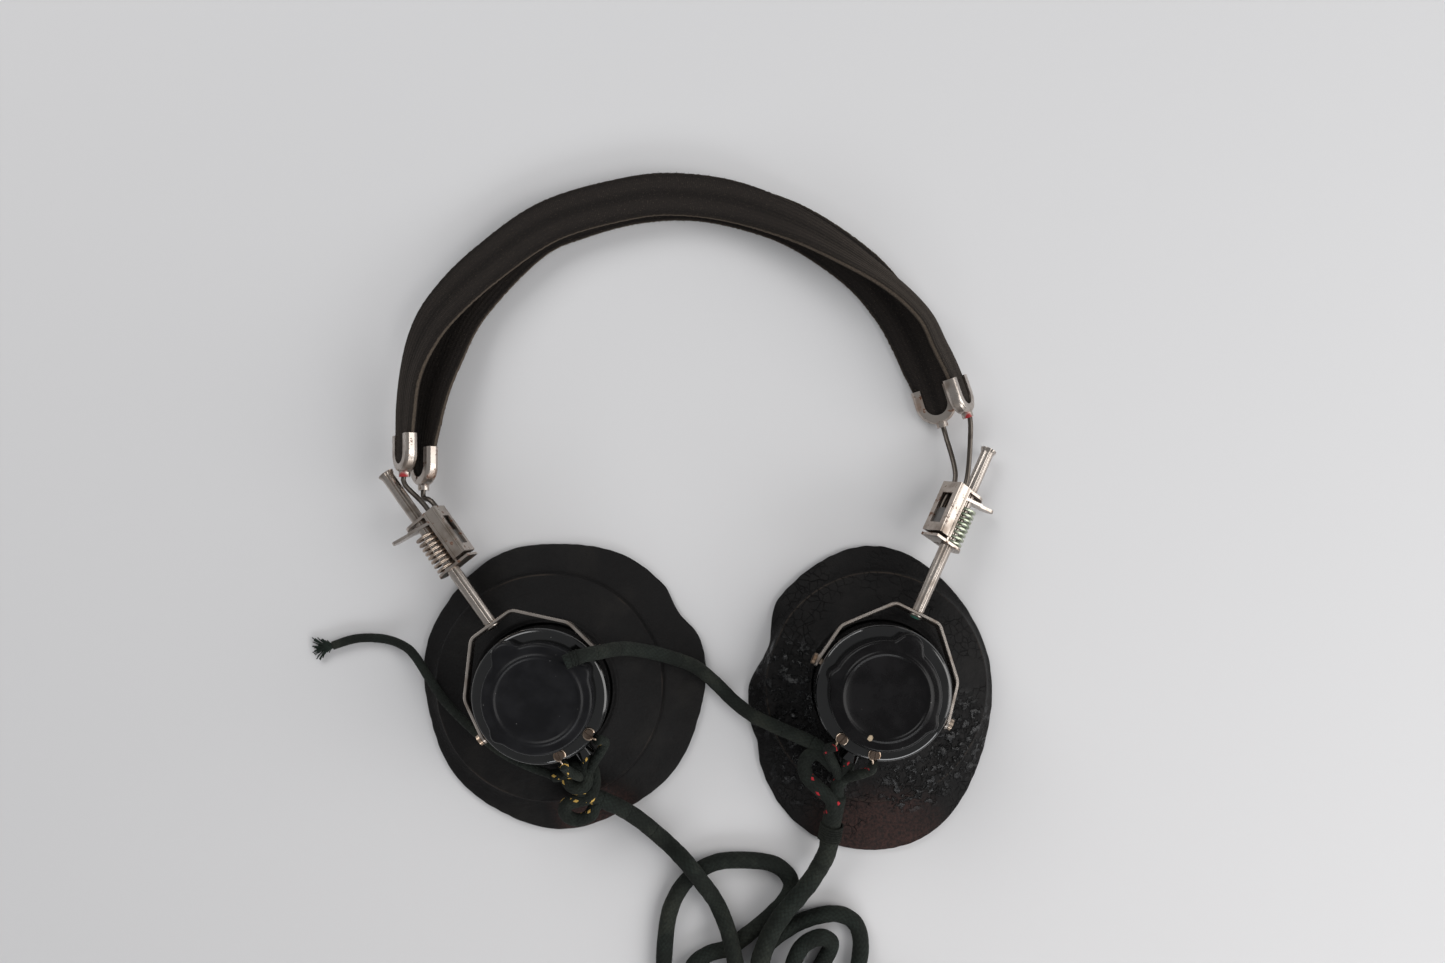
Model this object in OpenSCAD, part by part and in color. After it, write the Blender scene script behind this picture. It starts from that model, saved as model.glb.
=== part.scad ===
// Radio headphones laid flat: two bakelite receivers on rubber ear cushions, each in a bent
// strip yoke on a tube that slides and turns in a spring clamp, joined over the head by two
// woven straps on spring wires. Origin: on the table, under the middle of the headset.
// +X to the right, +Y towards the top of the headband, +Z up.

/* [Receivers] */
// Radius of the bakelite case
case_r = 24.8; // [22:0.2:28]
// Height of the bakelite case above its foot
case_h = 14.5; // [12:0.5:20]
// Wall of the bakelite case
case_wall = 3; // [2:0.5:4]
// Radius of the back cap
cap_r = 20.1; // [18:0.1:21]
// Height of the back cap above the case
cap_h = 8; // [6:0.5:10]
// Radius of the raised ring on the back cap
cap_ring_r = 15.6; // [12:0.2:17]
// Thickness of the ear cap
ear_cap_t = 4; // [3:0.5:5]
// Radius of the listening holes
ear_hole_r = 1.2; // [0.8:0.1:1.6]
// Thickness of the diaphragm
diaphragm_t = 0.3; // [0.2:0.1:0.5]
// Radius of the cord bush
bush_r = 3.6; // [3:0.1:4.5]

/* [Ear cushions] */
// Height of the cushion neck above the table
cushion_h = 17; // [15:0.5:18]
// Height of the ledge that the ear cap rests on
cushion_ledge_z = 14.8; // [13:0.1:15]
// Radius of the step half way out
cushion_step_r = 41; // [38:0.5:43]
// Half lengths of the brim's outline, left cushion, along X and Y
left_brim = [53.8, 54.6]; // [46:0.2:60]
// Half lengths of the brim's outline, right cushion, along X and Y
right_brim = [46.7, 58.2]; // [44:0.2:60]

/* [Yokes and rods] */
// Distance from the pivots to the top of the yoke
yoke_depth = 31.5; // [30:0.5:36]
// Width of the yoke strip
yoke_w = 5; // [4:0.2:6]
// Thickness of the yoke strip
yoke_t = 1.3; // [1:0.1:1.6]
// Height of the pivots above the table
pivot_z = 28; // [27:0.2:30]
// Radius of the tubular rod
rod_r = 2.4; // [2:0.1:2.6]
// Bore radius of the tubular rod
rod_bore_r = 1.7; // [1:0.1:1.8]
// Length of the rod above the yoke
rod_l = 69; // [60:1:76]
// Radius of the flared head of the rod
rod_head_r = 3.1; // [2.8:0.1:3.4]
// Radius of the pivot screws
pivot_r = 1.25; // [1:0.05:1.5]

/* [Clamps] */
// Distance between the outsides of the two flanges
clamp_l = 22.5; // [20:0.5:26]
// Width of the clamp box
clamp_box_w = 5.6; // [5:0.2:7]
// Depth of the clamp box
clamp_box_d = 10; // [9:0.5:12]
// Thickness of the clamp sheet
clamp_t = 1; // [0.8:0.1:1.2]
// Wire thickness of the clamp spring
spring_wire = 1.1; // [0.8:0.1:1.2]
// Mean radius of the clamp spring
spring_r = 4.1; // [4:0.1:4.2]
// Turns of the clamp spring
spring_turns = 8; // [6:1:9]

/* [Headband] */
// Width of the woven strap
strap_w = 17; // [15:0.5:18]
// Thickness of the woven strap
strap_t = 3; // [2.4:0.1:3.2]
// Radius of the spring wires
wire_r = 0.95; // [0.8:0.05:1.1]
// Mean radius of the clip's bend
clip_r = 6.1; // [5.6:0.1:6.4]
// Width of the clip's channel
clip_w = 3.4; // [3:0.1:3.8]
// Thickness of the clip across the strap
clip_t = 4.6; // [4.2:0.1:5]

/* [Cords] */
// Diameter of the left lead and of the trunk
lead_d = 6.3; // [5.8:0.1:6.5]
// Diameter of the right lead
right_lead_d = 7.2; // [6:0.1:7.4]
// Diameter of the link cord
link_d = 5.2; // [4.6:0.1:5.4]
// Diameter of the tie cord
tie_d = 3.4; // [3:0.1:3.6]
// Radius of the coil at the middle of its turns
coil_r = 31; // [30:0.5:32]
// Radius of the plug's handle
plug_r = 7.5; // [6.5:0.1:8]

/* [Hidden] */

LEFT = 0;
RIGHT = 1;
clear = 0.3;
run_fit = 0.06;
yoke_gap = 0.75;
fine = 64;

// Where each receiver stands, which way its rod points, and how far the rod dips to the band
receiver_at = [[-54.2, -64.8, 0], [70.3, -63.6, 0]];
rod_turn = [126.5, 64];
rod_dip = [7, 13];
// Where each clamp sits along its rod, and how far it is rolled about the rod
clamp_at = [56.5, 59.6];
clamp_roll = [9, 30];
// Centres of the two brims, seen from their receivers
brim_at = [[5.2, 0.3], [-1.9, -6.9]];
brims = [left_brim, right_brim];

// Heights in the receiver
ear_cap_z = cushion_ledge_z + clear;
case_z = ear_cap_z + ear_cap_t + diaphragm_t;
case_top = case_z + case_h;
cap_top = case_top + cap_h;

// Levels along the rod, counted from the clamp's lower end
box_x = 4.1;
flange_r = 4.5;
flange_x = -1.3;
lever_y = clamp_l - clamp_t - 3.2;
lever_t = 1.1;
lever_tilt = 9;
lever_reach = 15.5;

// Straps: points along the middle as [x, y, z, lift of the inner edge in degrees]
strap_front_line = [
    [-106, 17, 19.4, 58], [-106.2, 28, 18.6, 60], [-104.9, 50, 16.5, 70], [-100, 67, 14.5, 45],
    [-92, 80, 12.6, 24], [-77, 95.2, 10, 13], [-53.7, 111.7, 8.2, 8], [-25, 120.2, 7.6, 6],
    [-4.9, 122, 7.6, 6], [18.6, 118.3, 8.6, 12], [44.3, 107.3, 12.6, 36], [72, 89.2, 15.8, 60],
    [86.6, 75.9, 16.2, 64], [93, 63.9, 16.2, 64], [98.6, 52, 16.4, 62], [103, 39, 16.4, 60],
];
strap_back_line = [
    [-100.2, 12, 13.4, 52], [-100.4, 24, 12.2, 50], [-98.6, 42, 10.4, 44], [-94.2, 58.3, 8.4, 32],
    [-84.3, 80.2, 5.4, 14], [-61.6, 105.2, 3.2, 3], [-42.5, 114.4, 2.6, -3], [-19.6, 120.3, 2.4, -5],
    [3.4, 121, 2.4, -5], [26.7, 116, 2.4, -5], [44.7, 108.3, 2.6, -6], [64.6, 94.2, 3, -8],
    [76.8, 80.2, 3.4, -8], [84, 67.8, 3.6, -8], [90.3, 53, 3.8, -8], [95.6, 36, 4, -8],
];
// Where the wires enter the clamp box: across it, along it and above its middle
wire_front_in = [6.2, 2.6];
wire_back_in = [7.5, -2.6];
wire_end_y = 7;
// How far each wire runs straight on past the end of its strap, and out of the clamp
wire_past_strap = 5;
wire_past_clamp = 3.5;

// Cord routes
tie_route = [
    [-147, -51, 2], [-138.5, -47.3, 1.9], [-128, -45.5, 1.9], [-117.5, -46.4, 2.2],
    [-109.5, -49, 4.8], [-104.4, -53.4, 8.4], [-98.6, -61, 11.6], [-92, -69, 15.4], [-84.4, -76, 18.2],
    [-77, -82.2, 19.4], [-68.4, -88.4, 19.6], [-59, -93, 19.4], [-50.6, -96.2, 19],
];
link_route = [
    [-43.7, -50.8, 45.4], [-38.5, -48.8, 44.4], [-32, -48, 38.8], [-24.4, -48, 28],
    [-16.6, -50, 19.2], [-8.4, -52.8, 13], [-0.3, -56.1, 9.2], [4.8, -59.6, 7],
    [10.3, -65, 3.6], [16, -70.6, 4.2], [23, -75.4, 8.8], [29.9, -78.2, 12.8],
    [37.7, -81, 17], [45.3, -84, 20], [51, -88, 21.6], [53.4, -92.6, 22],
];
left_lead_route = [
    [-33.6, -105.2, 16.8], [-30, -107.4, 15.2], [-25.9, -110, 12.4], [-19.3, -115.4, 8],
    [-10, -124.3, 4], [-3.4, -129.6, 8], [0.5, -133.6, 10.2], [4.2, -138.8, 9], [9.5, -147.5, 4.6],
    [13.7, -156.3, 7.6], [16, -164.6, 10], [17.6, -174, 10], [17.6, -184, 10.4],
    [17.4, -192, 9.4], [17.4, -199, 5.4],
];
right_lead_route = [
    [53.2, -112.6, 14], [52.6, -120, 11.4], [51.6, -127, 9.4], [49, -133.4, 6.6], [45, -138.6, 9.4],
    [40.5, -143.5, 11.2], [36.2, -148.6, 10.8], [32.3, -154, 10.6], [29, -160, 10.8],
    [26.4, -168, 10.8], [25, -176, 10.8], [24.8, -184, 10.8], [24.8, -192, 10.4], [24.8, -199, 5.6],
];
trunk_route = [
    [21, -216, 4], [17.6, -222, 3.2], [8, -225, 3.2], [-3, -218, 3.2], [-8.6, -200, 3.2],
    [-10.4, -182, 3.2], [-10, -164, 3.2], [-7.7, -150, 3.2], [-1.4, -139.4, 3.2],
    [8.7, -133, 3.2], [20.6, -131.9, 3.2], [32, -133.6, 3.2], [38, -139.5, 3.2],
    [36.6, -146.4, 3.2], [29.4, -154, 3.2], [21.8, -160.2, 3.2], [14.5, -165.4, 3.2],
    [6.6, -167.8, 3.2], [0.4, -173, 3.2], [0.6, -182, 3.2], [7, -188.2, 3.2], [19, -189, 3.2],
    [33, -191.6, 3.2], [48, -191, 3.2], [60, -184, 3.2], [64, -172, 3.2], [64.8, -162, 3.2],
    [62, -155.2, 3.2], [55, -152.4, 3.2], [44.6, -154.4, 3.2], [35, -159.4, 3.2],
    [27.8, -166, 3.2], [25.6, -173, 3.2], [28, -179.4, 3.2], [36, -181.6, 3.2],
    [45.6, -177.6, 3.2], [51.2, -169.6, 3.2], [53.4, -163, 5.4], [49, -160, 7.6],
    [42.6, -163.6, 6.4], [38.8, -170.6, 7.4], [38.2, -179, 9.8], [39.4, -187, 9.8],
    [41, -194, 9.4], [42.8, -203, 4.6], [41.6, -214, 3.2], [41, -222, 3.2],
];
coil_at = [75, -228, 0];
coil_w = 13.2;
coil_h = 12.2;
tail_route = [
    [75, -262.3, 9.4], [86, -263.8, 9], [96, -265, 7.6], [105, -265.6, 6.6], [112, -265.6, 7.2],
    [118, -265.4, 7.5],
];
plug_at = [118.6, -265.4, 7.5];
knot_at = [[-41.4, -100.4, 18.6], [54.4, -102.4, 17.2]];
junction_from = [21, -199.6, 5.4];
junction_to = [21, -215.6, 4.2];

function inner(s) = s == LEFT ? 1 : -1;
function unit(v) = v / norm(v);
function flat(p) = [p.x, p.y, p.z];
function rot_x(p, a) = [p.x, p.y * cos(a) - p.z * sin(a), p.y * sin(a) + p.z * cos(a)];
function rot_y(p, a) = [p.x * cos(a) + p.z * sin(a), p.y, p.z * cos(a) - p.x * sin(a)];
function rot_z(p, a) = [p.x * cos(a) - p.y * sin(a), p.x * sin(a) + p.y * cos(a), p.z];
// A point given along, across and above the rod, in the headset's own frame
function on_rod(s, p) =
    receiver_at[s] + [0, 0, pivot_z] + rot_z(rot_x(p, -rod_dip[s]), rod_turn[s] - 90);
function on_clamp(s, p) =
    on_rod(s, [0, clamp_at[s], 0] + rot_y([inner(s) * p.x, p.y, p.z], -inner(s) * clamp_roll[s]));

// A smooth curve through points of any length, and evenly spread samples of it
function curve_at(p, t) =
    let (
        n = len(p) - 1,
        i = min(floor(t), n - 1),
        f = t - i,
        a = p[max(i - 1, 0)],
        b = p[i],
        c = p[i + 1],
        d = p[min(i + 2, n)]
    )
    b + 0.5 * f * ((c - a) + f * ((2 * a - 5 * b + 4 * c - d) + f * (3 * (b - c) + d - a)));
function samples(p, count) = [for (k = [0:count]) curve_at(p, k * (len(p) - 1) / count)];

// Tangent, level side (to the right of travel) and upward vectors at sample i
function tangent(p, i) = unit(flat(p[min(i + 1, len(p) - 1)]) - flat(p[max(i - 1, 0)]));
function right_of(t) = unit(cross(t, [0, 0, 1]));
function round_section(r, sides) = [for (k = [0:sides - 1]) r * [cos(360 * k / sides), sin(360 * k / sides)]];
function ring(p, i, section, roll) =
    let (
        t = tangent(p, i),
        s = right_of(t),
        u = cross(s, t),
        w = s * cos(roll) + u * sin(roll),
        n = u * cos(roll) - s * sin(roll)
    )
    [for (q = section) flat(p[i]) + w * q.x + n * q.y];

// A closed skin over a list of rings, all with the same number of points
module skin(rings) {
    count = len(rings);
    sides = len(rings[0]);
    polyhedron(
        points = [for (r = rings) each r],
        faces = [
            [for (k = [sides - 1:-1:0]) k],
            for (i = [0:count - 2]) for (k = [0:sides - 1])
                let (a = i * sides + k, b = i * sides + (k + 1) % sides)
                each [[a, b, a + sides], [b, b + sides, a + sides]],
            [for (k = [0:sides - 1]) (count - 1) * sides + k],
        ],
        convexity = 10
    );
}

module tube_along(points, diameter, rings, sides = 8) {
    p = samples(points, rings);
    section = round_section(diameter / 2, sides);
    skin([for (i = [0:rings]) ring(p, i, section, 0)]);
}

module at_receiver(s) {
    translate(receiver_at[s]) rotate([0, 0, rod_turn[s] - 90]) children();
}

module at_yoke(s) {
    at_receiver(s) translate([0, 0, pivot_z]) rotate([-rod_dip[s], 0, 0]) children();
}

module at_clamp(s) {
    at_yoke(s) translate([0, clamp_at[s], 0]) rotate([0, -inner(s) * clamp_roll[s], 0])
        mirror([s == RIGHT ? 1 : 0, 0, 0]) children();
}

// A cylinder along +Y
module rod_y(r, from, to) {
    translate([0, from, 0]) rotate([-90, 0, 0]) cylinder(r = r, h = to - from, $fn = fine);
}

// ---- headband ----

// Half width of a strap at a distance from its nearer end: round inside the clip, then full
function strap_half(d) =
    let (tip = clip_r + 0.5)
    d < tip ? max(1.2, sqrt(tip * tip - (tip - d) * (tip - d)))
    : tip + (strap_w / 2 - tip) * min(1, (d - tip) / 16);
function strap_section(half) = [
    for (k = [0:11])
        let (c = cos(30 * k), s = sin(30 * k))
        [half * sign(c) * pow(abs(c), 0.35), strap_t / 2 * sign(s) * pow(abs(s), 0.6)]
];

module strap(line) {
    count = 60;
    p = samples(line, count);
    skin([
        for (i = [0:count])
            let (
                to_start = norm(flat(p[i]) - flat(p[0])),
                to_end = norm(flat(p[i]) - flat(p[count]))
            )
            ring(p, i, strap_section(strap_half(min(to_start, to_end))), p[i][3])
    ]);
}

// The wire runs from one clamp through the strap to the other clamp
module band_wire(line, at) {
    n = len(line) - 1;
    first = flat(line[0]);
    last = flat(line[n]);
    wire_ys = [wire_end_y, clamp_l / 2 + 4, clamp_l + wire_past_clamp];
    points = concat(
        [for (y = wire_ys) on_clamp(LEFT, [at.x, y, at.y])],
        [first + wire_past_strap * unit(first - flat(line[1]))],
        [for (q = line) flat(q)],
        [last + wire_past_strap * unit(last - flat(line[n - 1]))],
        [for (y = [wire_ys[2], wire_ys[1], wire_ys[0]]) on_clamp(RIGHT, [at.x, y, at.y])]
    );
    tube_along(points, 2 * wire_r, 92);
}

// Local frame of a strap end: +Y runs out of the strap, +X across it, +Z off its face
module at_strap_end(end, before, roll) {
    t = unit(end - before);
    s = right_of(t);
    u = cross(s, t);
    w = s * cos(roll) + u * sin(roll);
    n = cross(w, t);
    multmatrix([
        [w.x, t.x, n.x, end.x],
        [w.y, t.y, n.y, end.y],
        [w.z, t.z, n.z, end.z],
        [0, 0, 0, 1],
    ]) children();
}

module clip_section() {
    difference() {
        intersection() {
            square([clip_w, clip_t], center = true);
            translate([-clip_w * 0.4, 0]) circle(r = clip_w * 0.95, $fn = fine);
        }
        translate([-clip_w, -strap_t / 2 - 0.1]) square([clip_w + 0.6, strap_t + 0.2]);
    }
}

// A U of nickel channel round the strap's end, with the boss that the wire leaves by
module clip() {
    prong_l = 6.5;
    difference() {
        union() {
            rotate_extrude(angle = 180, $fn = fine) translate([clip_r, 0]) clip_section();
            for (m = [0, 1]) mirror([m, 0, 0]) translate([clip_r, 0, 0]) rotate([90, 0, 0])
                linear_extrude(height = prong_l) clip_section();
            rod_y(2.1, clip_r + 0.9, clip_r + 3.2);
        }
        rod_y(wire_r + run_fit, 0, clip_r + 4);
    }
}

module end_clip(line, first) {
    n = len(line) - 1;
    end = flat(first ? line[0] : line[n]);
    before = flat(first ? line[1] : line[n - 1]);
    roll = first ? -line[0][3] : line[n][3];
    color("silver") at_strap_end(end, before, roll)
        translate([0, -clip_r - 0.9, 0]) clip();
}

// ---- clamps ----

module flange(reach) {
    rotate([-90, 0, 0]) linear_extrude(height = clamp_t) union() {
        translate([flange_x, 0]) circle(r = flange_r, $fn = fine);
        translate([flange_x, -flange_r]) square([reach - flange_x, 2 * flange_r]);
    }
}

module clamp(s) {
    wall = 0.8;
    window = [12.5, 5.4];
    ridge_r = 0.4;
    color("silver") at_clamp(s) difference() {
        union() {
            flange(box_x + clamp_box_w);
            translate([0, clamp_l - clamp_t, 0]) flange(box_x + wall);
            translate([box_x, 0, -flange_r]) cube([wall, clamp_l, 2 * flange_r]);
            difference() {
                translate([box_x, 2.2, -clamp_box_d / 2])
                    cube([clamp_box_w, clamp_l - 2.2, clamp_box_d]);
                translate([box_x + wall, 1, -clamp_box_d / 2 + wall])
                    cube([clamp_box_w - 2 * wall, clamp_l + 1, clamp_box_d - 2 * wall]);
            }
            for (x = [box_x + 0.9, box_x + clamp_box_w - 0.9])
                translate([x, 0, clamp_box_d / 2]) rod_y(ridge_r, 2.2, clamp_l);
        }
        rod_y(rod_r + run_fit, -1, clamp_l + 1);
        translate([box_x + clamp_box_w - wall - 1, 5.5, -window.y / 2])
            cube([wall + 2, window.x, window.y]);
    }
}

// The block that grips both wire ends inside the clamp box
module wire_anchor(s) {
    color("dimgray") at_clamp(s) difference() {
        translate([box_x + 0.85, 4, -4]) cube([clamp_box_w - 1.7, 8, 8]);
        for (at = [wire_front_in, wire_back_in])
            translate([at.x, 0, at.y]) rod_y(wire_r + run_fit, wire_end_y - 0.1, 13);
    }
}

// The tilting plate that grips the rod, with its finger tongue
module release_lever(s) {
    tongue_w = 4.6;
    color("gainsboro") at_clamp(s) translate([box_x - 0.2, lever_y, 0])
        rotate([0, 0, -lever_tilt]) rotate([-90, 0, 0]) linear_extrude(height = lever_t)
        difference() {
            union() {
                translate([-9.4, -3.6]) square([9.2, 7.2]);
                translate([-lever_reach, -tongue_w / 2]) square([10, tongue_w]);
                translate([-lever_reach, 0]) circle(d = tongue_w, $fn = fine);
            }
            translate([-box_x + 0.2, 0]) circle(r = rod_r + 0.4, $fn = fine);
        }
}

module clamp_spring(s) {
    from = clamp_t + spring_wire / 2 + 0.05;
    to = lever_y - spring_wire / 2 - 0.35;
    steps = 14;
    count = spring_turns * steps;
    section = round_section(spring_wire / 2, 6);
    color("darkgray") at_clamp(s) translate([-0.8, 0, 0]) skin([
        for (k = [0:count])
            let (
                a = 360 * k / steps,
                c = [cos(a), 0, sin(a)],
                mid = c * spring_r + [0, from + (to - from) * k / count, 0]
            )
            [for (q = section) mid + c * q.x + [0, q.y, 0]]
    ]);
}

// ---- rods and yokes ----

module slide_rod(s) {
    foot = yoke_depth + yoke_t / 2 + run_fit;
    head = foot + rod_l;
    spigot_r = rod_r - 0.8;
    color("silver") at_yoke(s) difference() {
        union() {
            rod_y(rod_r, foot, head);
            translate([0, head - 1.4, 0]) rotate([-90, 0, 0])
                cylinder(r1 = rod_r, r2 = rod_head_r, h = 1.4, $fn = fine);
            rod_y(spigot_r, yoke_depth - yoke_t / 2 - 1, foot + 1);
            rod_y(rod_r + 0.4, yoke_depth - yoke_t / 2 - 1, yoke_depth - yoke_t / 2 - run_fit);
        }
        rod_y(rod_bore_r, foot + 4, head + 1);
    }
}

// The strip's edge at corner i, a distance d to the side of its middle line, mitred at the bend
function strip_edge(c, i, d) =
    let (
        n = len(c) - 1,
        a = unit(c[max(i, 1)] - c[max(i, 1) - 1]),
        b = unit(c[min(i + 1, n)] - c[min(i + 1, n) - 1]),
        side_a = [-a.y, a.x],
        mitre = unit(side_a + [-b.y, b.x])
    )
    c[i] + mitre * d / (mitre * side_a);

module yoke(s) {
    end_x = case_r + yoke_gap + yoke_t / 2;
    bend_x = case_r - 1.2;
    bend_y = 15;
    top_x = 9;
    half = [[end_x, 0], [bend_x, bend_y], [top_x, yoke_depth]];
    corners = concat(half, [for (i = [2:-1:0]) [-half[i].x, half[i].y]]);
    last = len(corners) - 1;
    color("silver") at_yoke(s) difference() {
        union() {
            linear_extrude(height = yoke_w, center = true) polygon([
                for (i = [0:last]) strip_edge(corners, i, yoke_t / 2),
                for (i = [last:-1:0]) strip_edge(corners, i, -yoke_t / 2),
            ]);
            for (m = [-1, 1]) translate([m * end_x, 0, 0]) rotate([0, 90, 0])
                cylinder(d = yoke_w, h = yoke_t, center = true, $fn = fine);
        }
        rotate([0, 90, 0])
            cylinder(r = pivot_r + run_fit, h = 2 * end_x + 4, center = true, $fn = fine);
        rod_y(rod_r - 0.8 + run_fit, yoke_depth - 2, yoke_depth + 2);
    }
}

module pivot_screws(s) {
    from = case_r - 2;
    seat = case_r + yoke_gap + yoke_t + 0.15;
    color("goldenrod") at_receiver(s) translate([0, 0, pivot_z]) for (m = [-1, 1])
        rotate([0, m * 90, 0]) translate([0, 0, from]) union() {
            cylinder(r = pivot_r, h = seat - from + 0.5, $fn = fine);
            translate([0, 0, seat - from]) cylinder(r = 2.2, h = 1.2, $fn = fine);
        }
}

// ---- receivers ----

module receiver_case(s) {
    ledge = cap_r + 0.3;
    top_round = 1.6;
    color([0.05, 0.05, 0.06]) at_receiver(s) difference() {
        rotate_extrude($fn = 96) polygon([
            [case_r - case_wall, case_z],
            [case_r, case_z],
            for (a = [0:15:90])
                [case_r - top_round + top_round * cos(a), case_top - top_round + top_round * sin(a)],
            [ledge - 4, case_top],
            [ledge - 4, case_top - 2.5],
            [case_r - case_wall, case_top - 2.5],
        ]);
        translate([0, 0, pivot_z]) rotate([0, 90, 0])
            cylinder(r = pivot_r, h = 3 * case_r, center = true, $fn = fine);
        translate([0, 0, case_z + 6]) rotate([90, 0, 0])
            cylinder(r = bush_r - 1, h = 2 * case_r, $fn = fine);
        for (x = [-1, 1]) rotate([0, 0, -90 + 17 * x]) translate([terminal_r, 0, case_top - 2])
            cylinder(r = 0.8, h = 4, $fn = fine);
    }
}
terminal_r = cap_r + 2.2;

module back_cap(s) {
    lobe_r = 5.2;
    side_lobe_r = 3.4;
    shell = 2;
    color([0.06, 0.06, 0.07]) at_receiver(s) translate([0, 0, case_top]) difference() {
        union() {
            rotate_extrude($fn = 96) polygon([
                [0, 0], [cap_r, 0], [cap_r, cap_h - 2.4], [cap_r - 0.8, cap_h - 1.2],
                [cap_ring_r + 1, cap_h - 0.8], [cap_ring_r + 0.6, cap_h], [cap_ring_r - 0.2, cap_h],
                [cap_ring_r - 0.8, cap_h - 0.6], [0, cap_h - 0.6],
            ]);
            translate([0, cap_r - 1, 0]) cylinder(r = lobe_r, h = cap_h - 0.8, $fn = fine);
            for (m = [-1, 1]) translate([m * (cap_r - 1.8), -2, 0])
                cylinder(r = side_lobe_r, h = cap_h - 1.2, $fn = fine);
        }
        translate([0, 0, -1]) cylinder(r = cap_r - shell, h = cap_h - shell, $fn = 96);
    }
}

module cord_bush(s) {
    color([0.08, 0.08, 0.08]) at_receiver(s) translate([0, 0, case_z + 6]) rotate([180, 0, 0])
        difference() {
            union() {
                rod_y(bush_r, case_r + 0.02, case_r + 3.4);
                rod_y(bush_r - 1 - 0.05, case_r - case_wall, case_r + 1);
            }
            rod_y(bush_r - 2, case_r - 5, case_r + 5);
        }
}

module terminal_screws(s) {
    color("goldenrod") at_receiver(s) for (x = [-1, 1]) rotate([0, 0, -90 + 17 * x])
        translate([terminal_r, 0, case_top]) difference() {
            union() {
                cylinder(r = 1.7, h = 1.5, $fn = fine);
                translate([0, 0, -2]) cylinder(r = 0.8, h = 2.5, $fn = fine);
            }
            translate([-2, -0.25, 1]) cube([4, 0.5, 1]);
        }
}

module ear_cap(s) {
    rim_w = 2.2;
    color([0.05, 0.05, 0.06]) at_receiver(s) translate([0, 0, ear_cap_z]) difference() {
        cylinder(r = case_r, h = ear_cap_t, $fn = 96);
        translate([0, 0, 2]) cylinder(r = case_r - rim_w, h = ear_cap_t, $fn = 96);
        for (k = [0:6]) rotate([0, 0, 60 * k]) translate([k == 6 ? 0 : 7, 0, -1])
            cylinder(r = ear_hole_r, h = 5, $fn = fine);
    }
}

module diaphragm(s) {
    color("gray") at_receiver(s) translate([0, 0, case_z - diaphragm_t])
        cylinder(r = case_r - 0.8, h = diaphragm_t, $fn = 96);
}

magnet_z = case_top - 2.5 - 0.02;
magnet_h = 3.5;

// A C-shaped bar magnet that hangs under the case roof, gap towards the bush
module magnet(s) {
    color("darkslategray") at_receiver(s) translate([0, 0, magnet_z - magnet_h]) difference() {
        cylinder(r = ledge_r(), h = magnet_h, $fn = 96);
        translate([0, 0, -1]) cylinder(r = ledge_r() - 7, h = magnet_h + 2, $fn = 96);
        translate([-5, -30, -1]) cube([10, 30, magnet_h + 2]);
    }
}
function ledge_r() = case_r - case_wall - 0.5;

pole_x = 5;
module pole_pieces(s) {
    shoe = ledge_r() - 1;
    color("dimgray") at_receiver(s) for (m = [-1, 1]) translate([0, 0, case_z + 0.4]) union() {
        translate([m * pole_x - 1, -4, 0]) cube([2, 8, magnet_z - magnet_h - case_z - 0.4]);
        translate([m > 0 ? pole_x - 1 : -shoe, -4, magnet_z - magnet_h - case_z - 1.9])
            cube([shoe - pole_x + 1, 8, 1.5]);
    }
}

module coils(s) {
    color("darkgoldenrod") at_receiver(s) for (m = [-1, 1])
        translate([m * pole_x, 0, case_z + 1.4]) difference() {
            translate([-3.2, -6, 0]) cube([6.4, 12, 5]);
            translate([-1.1, -4.1, -1]) cube([2.2, 8.2, 7]);
        }
}

// ---- ear cushions ----

// Profile from the neck out to the brim and back under it: [radius, height, share of the brim]
function cushion_profile() = [
    [case_r + clear, cushion_h, 0], [case_r + 2.4, cushion_h, 0], [case_r + 3.8, cushion_h - 1.2, 0],
    [case_r + 9, cushion_h - 4, 0.1], [cushion_step_r - 1.5, 10.8, 0.25],
    [cushion_step_r, 10, 0.3], [cushion_step_r + 0.8, 7, 0.35], [0, 4.6, 0.68],
    [0, 2.6, 0.97], [0, 1.4, 1], [0, 0, 0.97], [0, 0, 0.86], [0, 2.2, 0.72],
    [cushion_step_r - 3, 4.6, 0.3], [cushion_step_r - 6, 8.6, 0.2],
    [case_r + 3, 11.6, 0], [case_r - 1.6, 12.6, 0], [case_r - 3, 13.6, 0],
    [case_r - 3, cushion_ledge_z, 0], [case_r + clear, cushion_ledge_z, 0],
];

// A brim that has aged out of round: the outline dents in places
function dent(a, at, wide, deep) =
    let (d = abs((a - at + 540) % 360 - 180))
    d < wide ? -deep * (0.5 + 0.5 * cos(180 * d / wide)) : 0;
function brim_wave(s, a) =
    s == LEFT ? 0.8 * sin(3 * a + 40) + 0.5 * sin(7 * a) + dent(a, 31, 14, 2.4)
    : 0.6 * sin(5 * a + 20) + dent(a, 158, 20, 5.4) + dent(a, 197, 9, 1.2);
function brim_point(s, a) =
    [
        brim_at[s].x + (brims[s].x + brim_wave(s, a)) * cos(a),
        brim_at[s].y + (brims[s].y + brim_wave(s, a)) * sin(a),
    ];

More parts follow.
